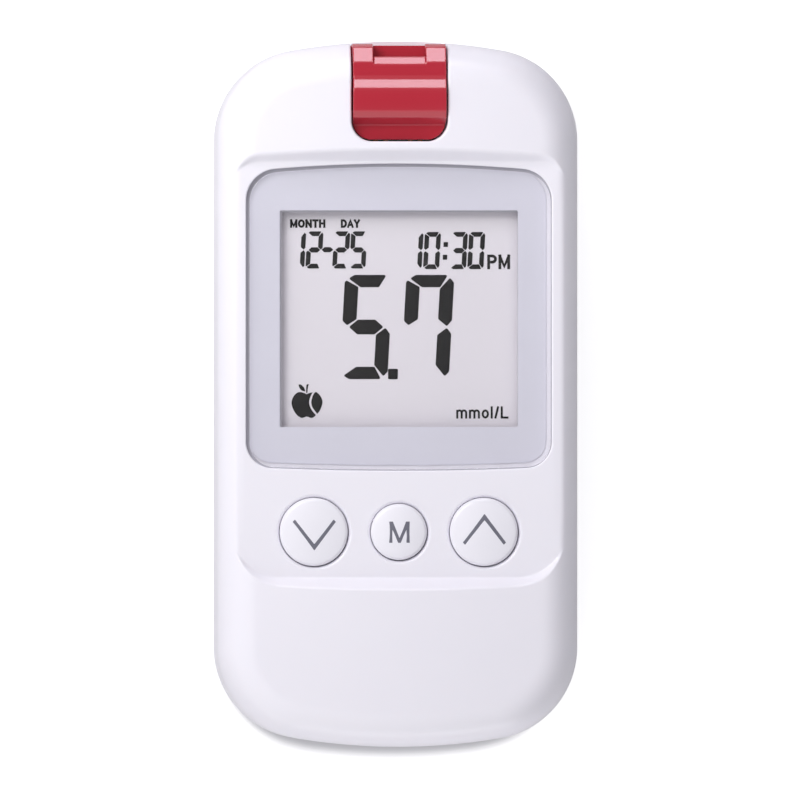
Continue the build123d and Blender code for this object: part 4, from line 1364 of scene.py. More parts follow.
# The meal pictogram, a cut apple with its stem and leaf: its loops, each with its corners' indices
APPLE: tuple[tuple[Sequence[tuple[float, float]], Sequence[int]], ...] = (
    (
        [
            (-11.95, -9.83), (-12.4, -9.64), (-12.85, -9.56), (-13.24, -9.67), (-13.64, -10.08),
            (-13.88, -10.61), (-13.92, -11.09), (-13.77, -11.66), (-13.51, -12.18), (-13.23, -12.54),
            (-12.96, -12.76), (-12.59, -12.94), (-12.25, -12.84), (-11.95, -12.75), (-11.65, -12.84),
            (-11.31, -12.94), (-10.98, -12.78), (-10.74, -12.55), (-11.05, -12.22), (-11.33, -11.84),
            (-11.52, -11.43), (-11.62, -11.02), (-11.59, -10.57), (-11.43, -10.08), (-11.18, -9.6),
            (-11.54, -9.67),
        ],
        (0, 17, 24),
    ),
    (
        [
            (-11.16, -10.08), (-11.32, -10.61), (-11.34, -11.09), (-11.2, -11.54), (-10.92, -11.96),
            (-10.58, -12.41), (-10.28, -12.03), (-10.02, -11.47), (-9.89, -10.91), (-9.96, -10.46),
            (-10.21, -10.01), (-10.49, -9.71), (-10.75, -9.55), (-10.96, -9.69),
        ],
        (5, 13),
    ),
    (
        [
            (-12.01, -9.67), (-11.86, -9.67), (-11.8, -9.03), (-11.73, -8.71), (-11.67, -8.53),
            (-11.93, -8.55), (-11.99, -8.73), (-12.02, -9.15),
        ],
        (0, 1, 4, 5),
    ),
    (
        [
            (-13.02, -8.58), (-12.93, -8.92), (-12.74, -9.22), (-12.48, -9.41), (-12.12, -9.48),
            (-12.25, -9.07), (-12.48, -8.77), (-12.78, -8.56),
        ],
        (0, 4),
    ),
)


@dataclass
class Display:
    """The lens, the silver mask, the glass and what the glass shows, inside the shell's pocket."""

    paints: Paints
    shell: FrontShell
    ink_height: float = 0.03
    lens_edge: float = 0.12
    film_gap: float = 0.03
    lens_shift: float = 0.14
    film_inset: float = 0.3
    film_shift: float = 0.28
    # Top, foot and play of the grey bead that paints shade into the gap round the lens
    seal_top: float = 18.15
    gap_shade_low: float = 17.9
    seal_play: float = 0.004
    # Inset, reach, and depths under the film of the grey frame that paints shade along the window's upper and
    # left edges
    shade_rim: float = 0.11
    shade_rim_reach: float = 0.9
    bezel_top: float = 0.05
    shade_rim_low: float = 0.6
    big: DigitStyle = DigitStyle(6.27, 13.58, upright=1.82, level=1.6, middle=1.92, round=0.17)
    small: DigitStyle = DigitStyle(2.11, 4.84, upright=0.6, level=0.62, middle=0.68, round=0.06)
    dash: DigitStyle = DigitStyle(2.1, 4.84, upright=0.6, level=0.62, middle=0.66, round=0.06)

    def build(self) -> None:
        """Builds every piece of the display."""
        self.window = Window.measured()
        self.face_z = span("lcd_glass")[1].z
        self.middle = (0.0, (self.window.top + self.window.bottom) / 2)
        self.plan = self.shell.lens.grown(-self.lens_shift)
        self.shift = np.array((self.lens_shift, -self.lens_shift))
        self.build_lens()
        self.build_gap_shade()
        self.build_mask()
        self.build_shade_rim()
        self.build_ink()

    def build_lens(self) -> None:
        """Builds the clear lens with soft edges, pressed towards the lower right of its pocket."""
        low, high = span("display_lens")
        plan = self.plan
        edge = self.lens_edge

        def top(points: Points) -> Points:
            """Returns the lens's face, rounded down at its rim."""
            gap = np.clip(edge + plan.distance(points - self.shift), 0, edge)
            return high.z - edge + np.sqrt(np.clip(edge**2 - gap**2, 0, None))

        rim = plan.outline(0.4)
        rings = [moved_out(rim, plan, -edge * share) for share in (0.03, 0.12, 0.3, 0.6, 1.0, 1.6)]
        region = Region(rim + self.shift, [], np.vstack(rings) + self.shift)
        lens = slab("clear_lens", region, top, level(low.z + self.film_gap), self.paints["clear_lens"])
        settle(lens, Body.CASE, "clear_lens", "display_lens")

    def build_gap_shade(self) -> None:
        """Builds the grey bead in the gap round the lens: painted shade that darkens the gap, widest at its
        upper and left sides.
        """
        outer = self.shell.pocket.grown(-self.seal_play).outline(0.6)
        inner = self.plan.grown(self.seal_play).outline(0.6) + self.shift
        region = Region(outer, [inner[::-1]])
        gap_shade = slab("lens_seal", region, level(self.seal_top), level(self.gap_shade_low), self.paints["seal_grey"])
        settle(gap_shade, Body.CASE, "black_rubber")

    def build_mask(self) -> None:
        """Builds the silver film, which leaves a clear rim at the lens's right and lower edges."""
        low, high = span("lens_mask")
        outline = self.plan.grown(-self.film_inset).outline(0.8) + self.shift
        outline = outline + (-self.film_shift, self.film_shift)
        region = Region(outline, [self.window.outline(0.3)[::-1]])
        mask = slab("silver_mask", region, level(high.z), level(low.z), self.paints["silver_mask"])
        settle(mask, Body.CASE, "silver_mask", "lens_mask")

    def build_shade_rim(self) -> None:
        """Builds a grey frame round the glass as painted shade: its upper and left edges show in the window,
        where the mask's edge would shade the glass.
        """
        film_z = span("lens_mask")[0].z
        inner = self.window.grown(-self.shade_rim).outline(0.3) + (self.shade_rim, -self.shade_rim)
        region = Region(self.window.grown(self.shade_rim_reach).outline(0.5), [inner[::-1]])
        top, bottom = level(film_z - self.bezel_top), level(film_z - self.shade_rim_low)
        shade_rim = slab("glass_bezel", region, top, bottom, self.paints["seal_grey"])
        settle(shade_rim, Body.CASE, "black_frame")

    def digit(self, mark: str, style: DigitStyle, left: float, low: float) -> list[Points]:
        """Returns the outlines of one digit's lit bars, from its lower left corner."""
        bars = style.bars()
        found = []
        for segment in Segment:
            if segment.value not in GLYPHS[mark]:
                continue
            corners = [(left + x + style.slant * y, low + y) for x, y in bars[segment]]
            found.append(rounded(corners, style.round, style.round))
        return found

    def build_ink(self) -> None:
        """Builds the digits, the words and the pictogram that the glass shows."""
        outlines = []
        for mark, left, low in BIG_DIGITS:
            outlines += self.digit(mark, self.big, left, low)
        outlines.append(rounded(DECIMAL_POINT, 0.14, 0.08))
        for mark, left, low in DATE + TIME:
            outlines += self.digit(mark, self.small, left, low)
        mark, left, low = DASH
        outlines += self.digit(mark, self.dash, left, low)
        for left, low in COLON_PLACES:
            outlines.append(rounded([(left + x, low + y) for x, y in COLON_DOT], 0.06, 0.06))
        outlines += [lettering(*word) for word in WORDS]
        outlines += [rounded_through(points, sharp) for points, sharp in APPLE]
        ink = combined("display_segments", [self.ink(outline) for outline in outlines])
        settle(ink, Body.CASE, "display_glass")

    def ink(self, outline: Points | list[Points]) -> bpy.types.Object:
        """Makes one flat mark on the glass from outlines about the window's middle."""
        loops = [loop + self.middle for loop in (outline if isinstance(outline, list) else [outline])]
        z = self.face_z
        black = self.paints["segment_black"]
        return slab("mark", Region(loops), level(z + self.ink_height), level(z - self.ink_height), black)


def rounded_through(points: Sequence[tuple[float, float]], sharp: Sequence[int]) -> Points:
    """Returns a smooth closed loop through some points.

    Args:
        points: The points, counter-clockwise.
        sharp: Indices of the points where the loop has a corner.

    Returns:
        The loop, with four steps between each two points.
    """
    spots = np.array(points)
    count = len(spots)
    slopes = (np.roll(spots, -1, axis=0) - np.roll(spots, 1, axis=0)) / 2
    found = []
    for i in range(count):
        k = (i + 1) % count
        run = spots[k] - spots[i]
        leave = run if i in sharp else slopes[i]
        arrive = run if k in sharp else slopes[k]
        for t in np.arange(0, 1, 0.25):
            rest = 1 - t
            place = spots[i] * (1 + 2 * t) * rest**2 + spots[k] * (3 - 2 * t) * t**2
            found.append(place + leave * t * rest**2 - arrive * rest * t**2)
    return np.array(found)


def signed_area(loop: Points) -> float:
    """Returns a loop's area, negative where it runs clockwise."""
    x, y = loop[:, 0], loop[:, 1]
    return float(np.sum(x * np.roll(y, -1) - y * np.roll(x, -1)) / 2)


def bow(x: float, y: float, wide: float, tall: float, start: float, end: float) -> list[tuple[float, float]]:
    """Returns part of an oval about (x, y), from one angle in degrees to another."""
    angles = np.radians(np.linspace(start, end, 13))
    return [(x + wide * math.cos(a), y + tall * math.sin(a)) for a in angles]


# Each letter's width and its strokes, in a cell one unit high
LETTERS: dict[str, tuple[float, list[list[tuple[float, float]]]]] = {
    "M": (0.8, [[(0, 0), (0, 1)], [(0.8, 0), (0.8, 1)], [(0, 1), (0.4, 0.12), (0.8, 1)]]),
    "O": (0.76, [bow(0.38, 0.5, 0.38, 0.5, 0, 360)]),
    "N": (0.68, [[(0, 0), (0, 1)], [(0.68, 0), (0.68, 1)], [(0, 1), (0.68, 0)]]),
    "T": (0.62, [[(0.31, 0), (0.31, 1)], [(0, 1), (0.62, 1)]]),
    "H": (0.66, [[(0, 0), (0, 1)], [(0.66, 0), (0.66, 1)], [(0, 0.52), (0.66, 0.52)]]),
    "D": (0.7, [[(0, 0), (0, 1)], [(0, 1), *bow(0.25, 0.5, 0.45, 0.5, 90, -90), (0, 0)]]),
    "A": (0.76, [[(0, 0), (0.38, 1), (0.76, 0)], [(0.14, 0.3), (0.62, 0.3)]]),
    "Y": (0.72, [[(0, 1), (0.36, 0.46), (0.72, 1)], [(0.36, 0.46), (0.36, 0)]]),
    "P": (0.62, [[(0, 0), (0, 1)], [(0, 1), *bow(0.32, 0.74, 0.3, 0.26, 90, -90), (0, 0.48)]]),
    "m": (
        0.95,
        [
            [(0, 0), (0, 0.7)],
            [*bow(0.2375, 0.5, 0.2375, 0.24, 180, 0), (0.475, 0)],
            [*bow(0.7125, 0.5, 0.2375, 0.24, 180, 0), (0.95, 0)],
        ],
    ),
    "o": (0.56, [bow(0.28, 0.37, 0.28, 0.37, 0, 360)]),
    "l": (0.0, [[(0, 0), (0, 1.07)]]),
    "/": (0.26, [[(0, 0), (0.26, 1.07)]]),
    "L": (0.61, [[(0, 1.07), (0, 0), (0.61, 0)]]),
}
LETTER_SPACE = 0.4


def ribbon(route: Points, stroke: float) -> Points:
    """Returns the outline of an even stroke along a route; open ends reach half a stroke on."""
    closed = np.allclose(route[0], route[-1])
    ahead = np.diff(route, axis=0)
    ahead /= np.linalg.norm(ahead, axis=1)[:, None]
    if not closed:
        route = route.copy()
        route[0] -= ahead[0] * stroke / 2
        route[-1] += ahead[-1] * stroke / 2
    first = ahead[-1] if closed else ahead[0]
    last = ahead[0] if closed else ahead[-1]
    before, after = np.vstack((first, ahead)), np.vstack((ahead, last))
    middle = before + after
    middle /= np.linalg.norm(middle, axis=1)[:, None]
    reach = stroke / 2 / np.clip(np.sum(middle * before, axis=1), 0.6, 1)
    side = np.column_stack((-middle[:, 1], middle[:, 0])) * reach[:, None]
    return np.vstack((route + side, (route - side)[::-1]))


def lettering(word: str, left: float, right: float, low: float, tall: float, stroke: float) -> list[Points]:
    """Draws a word in plain strokes.

    Args:
        word: The word.
        left: Middle of its first stroke.
        right: Middle of its last stroke.
        low: Middle of the strokes along its base line.
        tall: Height of a capital, to the middles of its strokes.
        stroke: Width of the strokes.

    Returns:
        Closed outlines, which overlap where strokes cross.
    """
    whole = sum(LETTERS[letter][0] for letter in word) + LETTER_SPACE * (len(word) - 1)
    across = (right - left) / whole
    outlines = []
    start = 0.0
    for letter in word:
        width, strokes = LETTERS[letter]
        for route in strokes:
            placed = np.array(route) * (across, tall) + (left + start * across, low)
            outlines.append(ribbon(placed, stroke))
        start += width + LETTER_SPACE
    return outlines


# ------------------------------------------------------------------ buttons


@dataclass
class ButtonRow:
    """The three domed caps with their printed marks."""

    paints: Paints
    rim_round: float = 0.6
    print_height: float = 0.012
    stroke: float = 0.5
    dome: float = 0.6
    flange_depth: float = 3.1
    flange_thickness: float = 1.0
    flange_chamfer: float = 0.1
    play: float = 0.035
    stem: float = 1.5
    stem_gap: float = 0.04
    arrow_half: float = 2.92
    arrow_height: float = 3.9
    arrow_sink: float = 0.45
    letter_half: float = 1.34
    letter_rise: float = 1.38
    letter_stroke: float = 0.42
    letter_valley: float = 0.6

    def build(self) -> None:
        """Builds the caps and their marks."""
        for name, body in (("down", Body.DOWN), ("memory", Body.MEMORY), ("up", Body.UP)):
            plan = round_cap(name)
            low, high = span(f"{name}_button")
            ball = (plan.radius**2 + self.dome**2) / (2 * self.dome)
            self.cap(name, plan, low.z, high.z, ball, body)
            self.mark(name, plan, high.z, ball, body)

    def cap(self, name: str, plan: RoundPlan, low: float, high: float, ball: float, body: Body) -> None:
        """Builds one cap: dome, soft rim, skirt, flange and stem.

        Args:
            name: The button's name.
            plan: Its plan.
            low: Height of the stem's end.
            high: Height of the dome's top.
            ball: Radius of the dome.
            body: The body it rides on.
        """
        rim = self.rim_round
        reach = plan.radius - rim
        lean = math.asin(reach / (ball - rim))
        centre_z = high - ball + (ball - rim) * math.cos(lean)
        dome = [(ball * math.sin(a), high - ball + ball * math.cos(a)) for a in np.linspace(0, lean, 20)]
        turns = np.linspace(lean, math.pi / 2, 9)[1:]
        edge = [(reach + rim * math.sin(a), centre_z + rim * math.cos(a)) for a in turns]
        flange_low = high - self.dome - self.flange_depth
        flange_top = flange_low + self.flange_thickness
        wide = plan.radius + CAP_FLANGE
        tail = [
            (plan.radius, flange_top),
            (wide - self.flange_chamfer, flange_top),
            (wide, flange_top - self.flange_chamfer),
            (wide, flange_low),
            (self.stem, flange_low),
            (self.stem, low + self.stem_gap),
            (0.0, low + self.stem_gap),
        ]
        centre = (plan.x - self.play, plan.y + self.play)
        piece = lathe(f"{name}_cap", centre, np.array([*dome, *edge, *tail]), self.paints["cap_white"], 96)
        settle(piece, body, "cap_white", f"{name}_button")

    def mark(self, name: str, plan: RoundPlan, high: float, ball: float, body: Body) -> None:
        """Prints a button's mark on its dome."""
        outline = {"down": self.chevron(-1), "up": self.chevron(1), "memory": self.letter()}[name]
        loop = outline + (plan.x, plan.y)
        if signed_area(loop) < 0:
            loop = loop[::-1]
        spots = np.arange(-2.6, 2.6, 0.15)
        grid = np.array([(plan.x + x, plan.y + y) for x in spots for y in spots])
        inner = grid[inside(grid, loop)]

        def dome(points: Points) -> Points:
            """Returns the dome's height."""
            away = np.hypot(points[:, 0] - plan.x, points[:, 1] - plan.y)
            return high - ball + np.sqrt(ball**2 - away**2)

        piece = slab(
            f"{name}_mark",
            Region(loop, [], inner),
            lambda points: dome(points) + self.print_height,
            lambda points: dome(points) - self.print_height,
            self.paints["icon_grey"],
        )
        settle(piece, body, "plunger_grey")

    def chevron(self, way: int) -> Points:
        """Returns the outline of an arrowhead that points up (1) or down (-1)."""
        wide, tall, stroke = self.arrow_half, self.arrow_height, self.stroke
        slope = math.hypot(wide, tall)
        thick = stroke * slope / wide
        side = stroke * tall / slope / 2
        foot = stroke * wide / slope / 2
        base = -tall / 2
        corners = [
            (0, base + tall), (-wide + side / 2, base + foot), (-wide + side * 2, base - foot),
            (0, base + tall - thick), (wide - side * 2, base - foot), (wide - side / 2, base + foot),
        ]
        outline = rounded(corners, 0.07, 0.05)
        return outline * (1, way) + (0, way * self.arrow_sink)

    def letter(self) -> Points:
        """Returns the outline of the plain capital on the middle cap."""
        wide, tall, stroke = self.letter_half, self.letter_rise, self.letter_stroke
        corners = [
            (-wide, -tall), (-wide + stroke, -tall), (-wide + stroke, tall - 2.4 * stroke),
            (-stroke * 0.42, -tall), (stroke * 0.42, -tall), (wide - stroke, tall - 2.4 * stroke),
            (wide - stroke, -tall), (wide, -tall), (wide, tall), (wide - stroke * 1.15, tall),
            (0, -tall + self.letter_valley), (-wide + stroke * 1.15, tall), (-wide, tall),
        ]
        return rounded(corners, 0.03, 0.03)


# ------------------------------------------------------------------ what repeats or follows a path


WHOLE, THING, FINISH = "NodeSocketInt", "NodeSocketObject", "NodeSocketMaterial"


class Grower:
    """A geometry tree with named inputs, which ends in real geometry and a material."""

    def __init__(self, name: str, inputs: Mapping[str, str]) -> None:
        """Starts the tree.

        Args:
            name: The tree's name.
            inputs: Socket type of each named input.
        """
        self.tree = bpy.data.node_groups.new(name, "GeometryNodeTree")
        for label, kind in {"Geometry": "NodeSocketGeometry", **inputs, "Material": FINISH}.items():
            self.tree.interface.new_socket(label, in_out="INPUT", socket_type=kind)
        self.tree.interface.new_socket("Geometry", in_out="OUTPUT", socket_type="NodeSocketGeometry")
        self.wire = Wiring(self.tree)
        self.given = self.wire.add("NodeGroupInput").outputs

    def end(self, grown: bpy.types.NodeSocket) -> None:
        """Makes every instance real, sets the material and ends the tree."""
        real = self.wire.put(self.wire.add("GeometryNodeRealizeInstances"), Geometry=grown)
        dressed = self.wire.add("GeometryNodeSetMaterial")
        self.wire.put(dressed, Geometry=real.outputs[0], Material=self.given["Material"])
        self.wire.put(self.wire.add("NodeGroupOutput"), Geometry=dressed.outputs[0])

    def grow(self, name: str, spots: Sequence[Sequence[float]] = (), **values: object) -> bpy.types.Object:
        """Grows one piece.

        Args:
            name: The piece's name.
            spots: Places in millimetres that the tree starts from.
            **values: The tree's inputs, with _ for a space.

        Returns:
            The piece, as a plain mesh.
        """
        mesh = bpy.data.meshes.new(name)
        mesh.from_pydata([[value * MM for value in spot] for spot in spots], [], [])
        piece = bpy.data.objects.new(name, mesh)
        bpy.context.scene.collection.objects.link(piece)
        growth = piece.modifiers.new("growth", "NODES")
        growth.node_group = self.tree
        for socket in self.tree.interface.items_tree:
            value = values.get(socket.name.replace(" ", "_"))
            if socket.in_out == "INPUT" and value is not None:
                growth[socket.identifier] = value
        apply_modifiers(piece)
        return piece


# Rise of a closed turn, in radii of the wire
CLOSED_PITCH = 2.1


def coil_tree() -> Grower:
    """Builds the tree of a compression spring that stands on the origin, with closed end turns."""
    tree = Grower("coil", dict.fromkeys(("Radius", "Wire", "Length", "Turns"), FLOAT))
    wire, given = tree.wire, tree.given
    route = wire.add("GeometryNodeCurveSpiral")
    wire.put(route, Resolution=32, Rotations=given["Turns"], Height=0.0)
    wire.put(route, Start_Radius=given["Radius"], End_Radius=given["Radius"])
    share = wire.add("GeometryNodeSplineParameter").outputs["Factor"]
    turn = wire.math("DIVIDE", 1.0, given["Turns"])
    first_turn = wire.math("MINIMUM", share, turn)
    before_last = wire.math("SUBTRACT", 1.0, turn)
    last_turn = wire.math("MAXIMUM", wire.math("SUBTRACT", share, before_last), 0.0)
    closed = wire.math("ADD", first_turn, last_turn)
    thick = wire.math("MULTIPLY", given["Wire"], CLOSED_PITCH)
    flat = wire.math("MULTIPLY", wire.math("MULTIPLY", closed, given["Turns"]), thick)
    open_run = wire.math("SUBTRACT", share, closed)
    middle = wire.math("SUBTRACT", given["Length"], wire.math("MULTIPLY", thick, 2.0))
    open_share = wire.math("SUBTRACT", 1.0, wire.math("MULTIPLY", turn, 2.0))
    rise = wire.math("MULTIPLY", wire.math("DIVIDE", open_run, open_share), middle)
    up = wire.put(wire.add("ShaderNodeCombineXYZ"), Z=wire.math("ADD", flat, rise))
    lifted = wire.put(wire.add("GeometryNodeSetPosition"), Geometry=route.outputs[0], Offset=up.outputs[0])
    section = wire.put(wire.add("GeometryNodeCurvePrimitiveCircle"), Resolution=14, Radius=given["Wire"])
    swept = wire.add("GeometryNodeCurveToMesh")
    wire.put(swept, Curve=lifted.outputs[0], Profile_Curve=section.outputs[0], Fill_Caps=True)
    tree.end(swept.outputs[0])
    return tree


def scatter_tree() -> Grower:
    """Builds the tree that sets one thing on every spot, each turned its own way about Z."""
    tree = Grower("scatter", {"Thing": THING, "Seed": WHOLE})
    wire, given = tree.wire, tree.given
    thing = wire.put(wire.add("GeometryNodeObjectInfo"), Object=given["Thing"])
    turn = wire.add("FunctionNodeRandomValue", data_type="FLOAT_VECTOR")
    wire.put(turn, n0=(0.0, 0.0, 0.0), n1=(0.0, 0.0, 2 * math.pi), Seed=given["Seed"])
    placed = wire.add("GeometryNodeInstanceOnPoints")
    wire.put(placed, Points=given["Geometry"], Rotation=turn.outputs["Value"])
    wire.put(placed, Instance=thing.outputs["Geometry"])
    tree.end(placed.outputs[0])
    return tree


@dataclass(frozen=True)
class Screw:
    """A pan-head screw that is driven upwards.

    Attributes:
        node: The frame node that holds every screw of this size.
        head: Radius of the head.
        head_height: Height of the head.
        shank: Radius over the thread.
        pitch: Rise of the thread in one turn.
        slot: Width of the cross's arms.
        seed: Seed of the screws' turns.
    """

    node: str
    head: float
    head_height: float
    shank: float
    pitch: float
    slot: float = 0.5
    seed: int = 3

    def spots(self) -> list[tuple[float, float, float]]:
        """Returns the place of each head's seat."""
        low, high = span(self.node)
        across = (low.x + self.head, high.x - self.head)
        along = (low.y + self.head, high.y - self.head)
        return [(x, y, low.z + self.head_height) for x in across for y in along]

    def build(self, scatter: Grower, coil: Grower, steel: bpy.types.Material) -> None:
        """Builds the screws.

        Args:
            scatter: The tree that repeats one screw.
            coil: The tree of the thread.
            steel: The screws' finish.
        """
        low, high = span(self.node)
        length = high.z - low.z - self.head_height
        core = self.shank * 0.8
        shank = [(0.0, length), (core * 0.35, length), (core, length - core), (core, -0.1), (0.0, -0.1)]
        body = lathe("shank", (0.0, 0.0), np.array(shank), steel, 24)
        ridge = self.shank - core
        threaded = length - 1.2 * self.shank
        thread = coil.grow(
            "thread",
            Radius=(self.shank - ridge) * MM,
            Wire=ridge * 0.98 * MM,
            Length=threaded * MM,
            Turns=(threaded - self.pitch) / self.pitch,
            Material=steel,
        )
        thread.data.transform(Matrix.Translation((0, 0, ridge * MM)))
        screw = combined("screw", [body, thread, self.cap(steel)])
        name = self.node.rstrip("s") + "_set"
        group = scatter.grow(name, self.spots(), Thing=screw, Seed=self.seed, Material=steel)
        bpy.data.objects.remove(screw)
        settle(group, Body.CASE, "screw_steel", self.node)

    def cap(self, steel: bpy.types.Material) -> bpy.types.Object:
        """Builds the domed head with its cross, below the seat at z = 0."""
        reach = self.head * 0.62
        half = self.slot / 2
        arms = ((half, half), (half, reach), (-half, reach), (-half, half), (-reach, half), (-reach, -half))
        cross = np.array([*arms, *(-np.array(arms))])
        spread_out = [line(cross[k - 1], cross[k], 0.12) for k in range(len(cross))]
        outer = joined(*spread_out)
        inner = outer * (1 - 0.14 * half / np.maximum(np.abs(outer).max(axis=1), half))[:, None]
        rings = [RoundPlan(0.0, 0.0, self.head * share).outline(0.2) for share in (0.98, 0.92, 0.82, 0.7)]
        kept = spread([(np.vstack((outer, inner)), 0.02), (np.vstack(rings), 0.06)])

        def face(points: Points) -> Points:
            """Returns the head's lower face, with the cross sunk in."""
            away = np.hypot(points[:, 0], points[:, 1]) / self.head
            dome = -self.head_height * np.sqrt(np.clip(1 - 0.85 * away**4, 0, None))
            return dome + self.head_height * 0.55 * inside(points, cross * 0.97)

        region = Region(RoundPlan(0.0, 0.0, self.head).outline(0.2), [], kept)
        return slab("head", region, level(0.0), face, steel)


@dataclass
class Hardware:
    """The screws and the ejector's spring."""

    paints: Paints
    spring_wire: float = 0.175
    spring_turns: float = 9.0

    def build(self) -> None:
        """Builds them from their trees."""
        coil, scatter = coil_tree(), scatter_tree()
        steel = self.paints["screw_steel"]
        for screw in (
            Screw("case_screws", head=SCREW_HEAD, head_height=1.5, shank=1.0, pitch=0.8),
            Screw("board_screws", head=1.6, head_height=0.6, shank=0.8, pitch=0.6, seed=5),
        ):
            screw.build(scatter, coil, steel)
        self.spring(coil)

    def spring(self, coil: Grower) -> None:
        """Builds the ejector's spring as a fixed coil on the case; it does not shorten when the slider moves.
        """
        low, high = span("ejector_spring")
        thick = self.spring_wire
        middle = (low + high) / 2
        spring = coil.grow(
            "ejector_coil",
            Radius=((high.x - low.x) / 2 - thick) * MM,
            Wire=thick * MM,
            Length=(high.y - low.y - 2 * thick) * MM,
            Turns=self.spring_turns,
            Material=self.paints["spring_steel"],
        )
        smooth(spring)
        place = Matrix.Translation(Vector((middle.x, low.y + thick, middle.z)) * MM)
        spring.data.transform(place @ Matrix.Rotation(-math.pi / 2, 4, "X"))
        settle(spring, Body.CASE, "spring_steel", "ejector_spring")
        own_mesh(spring)


# ------------------------------------------------------------------ everything else of the frame


@dataclass
class Ejector:
    """The red slider and the mouth of the port under it."""

    paints: Paints
    hollow: float = 0.42
    hollow_back: float = 4.4
    hollow_length: float = 5.0
    hollow_play: float = 0.05
    edge: float = 0.16

    def share(self, start: Vector, end: Vector) -> float:
        """Returns 1 for the hollow between the slider's deck and its ridge, and less elsewhere."""
        hollow_y = span("eject_slider")[1].y - self.hollow_back
        off = max(abs(start.y - hollow_y), abs(end.y - hollow_y))
        in_hollow = abs(start.x - end.x) > self.hollow_length and off < self.hollow_play
        return 1.0 if in_hollow else self.edge / self.hollow

    def build(self) -> None:
        """Rounds the slider's and the guide's edges."""
        red = self.paints["ejector_red"]
        slider = softened(
            "eject_slider", self.hollow, red, "ejector_slider", segments=4, least=18, share=self.share
        )
        settle(slider, Body.EJECTOR, "ejector_red", "eject_slider")
        guide = softened("strip_guide", 0.08, red, "port_mouth", segments=2)
        settle(guide, Body.CASE, "ejector_red", "strip_guide")


@dataclass
class Rear:
    """The lower shell and the battery door."""

    paints: Paints

    def build(self) -> None:
        """Rounds the shell's and the door's edges."""
        white = self.paints["case_white"]
        shell = softened("rear_cover", 0.12, white, "rear_shell", segments=2)
        settle(shell, Body.CASE, "case_white", "rear_cover")
        door = softened("battery_door", 0.15, white, "door_panel", segments=2)
        settle(door, Body.DOOR, "case_white", "battery_door")


@dataclass
class Inside:
    """The frame nodes that keep their own shape."""

    paints: Paints

    def build(self) -> None:
        """Gives each node the finish that its loaded material names, and the cells their jackets."""
        for node in frame["nodes"].values():
            slot = node.material_slots[0].material.name
            finish = {"display_glass": "display_face", "cell_jacket": "terminal_nickel"}.get(slot, slot)
            if finish != "clear_lens":
                node.material_slots[0].material = self.paints[finish]
        for name, heading in (("battery_left", 1), ("battery_right", -1)):
            low, high = span(name)
            start = low.y if heading > 0 else high.y
            jacket = Jacket(f"{name}_jacket", start, heading, high.y - low.y).build()
            frame["nodes"][name].material_slots[0].material = jacket


# ------------------------------------------------------------------ studio


@dataclass(frozen=True)
class SoftBox:
    """A soft box that faces the meter, with its place and size in metres and its power in watts."""

    name: str
    place: tuple[float, float, float]
    size: tuple[float, float]
    power: float
    colour: Colour

    def hang(self) -> None:
        """Hangs the soft box, out of the camera's sight."""
        data = bpy.data.lights.new(self.name, "AREA")
        data.shape = "RECTANGLE"
        data.size, data.size_y = self.size
        data.energy = self.power
        data.color = self.colour
        lamp = bpy.data.objects.new(self.name, data)
        lamp.location = self.place
        lamp.rotation_euler = Vector(self.place).to_track_quat("Z", "Y").to_euler()
        lamp.visible_camera = False
        bpy.context.scene.collection.objects.link(lamp)


SOFT_BOXES = (
    SoftBox("key", (-0.14, 0.16, 0.22), (0.14, 0.14), 0.45, (1.0, 0.99, 0.98)),
    SoftBox("strip", (0.0, 0.86, 0.5), (0.34, 0.24), 2.1, (0.93, 0.9, 1.0)),
    SoftBox("card", (0.012, -0.118, 0.02), (0.09, 0.024), 0.009, (1.0, 0.98, 1.0)),
)


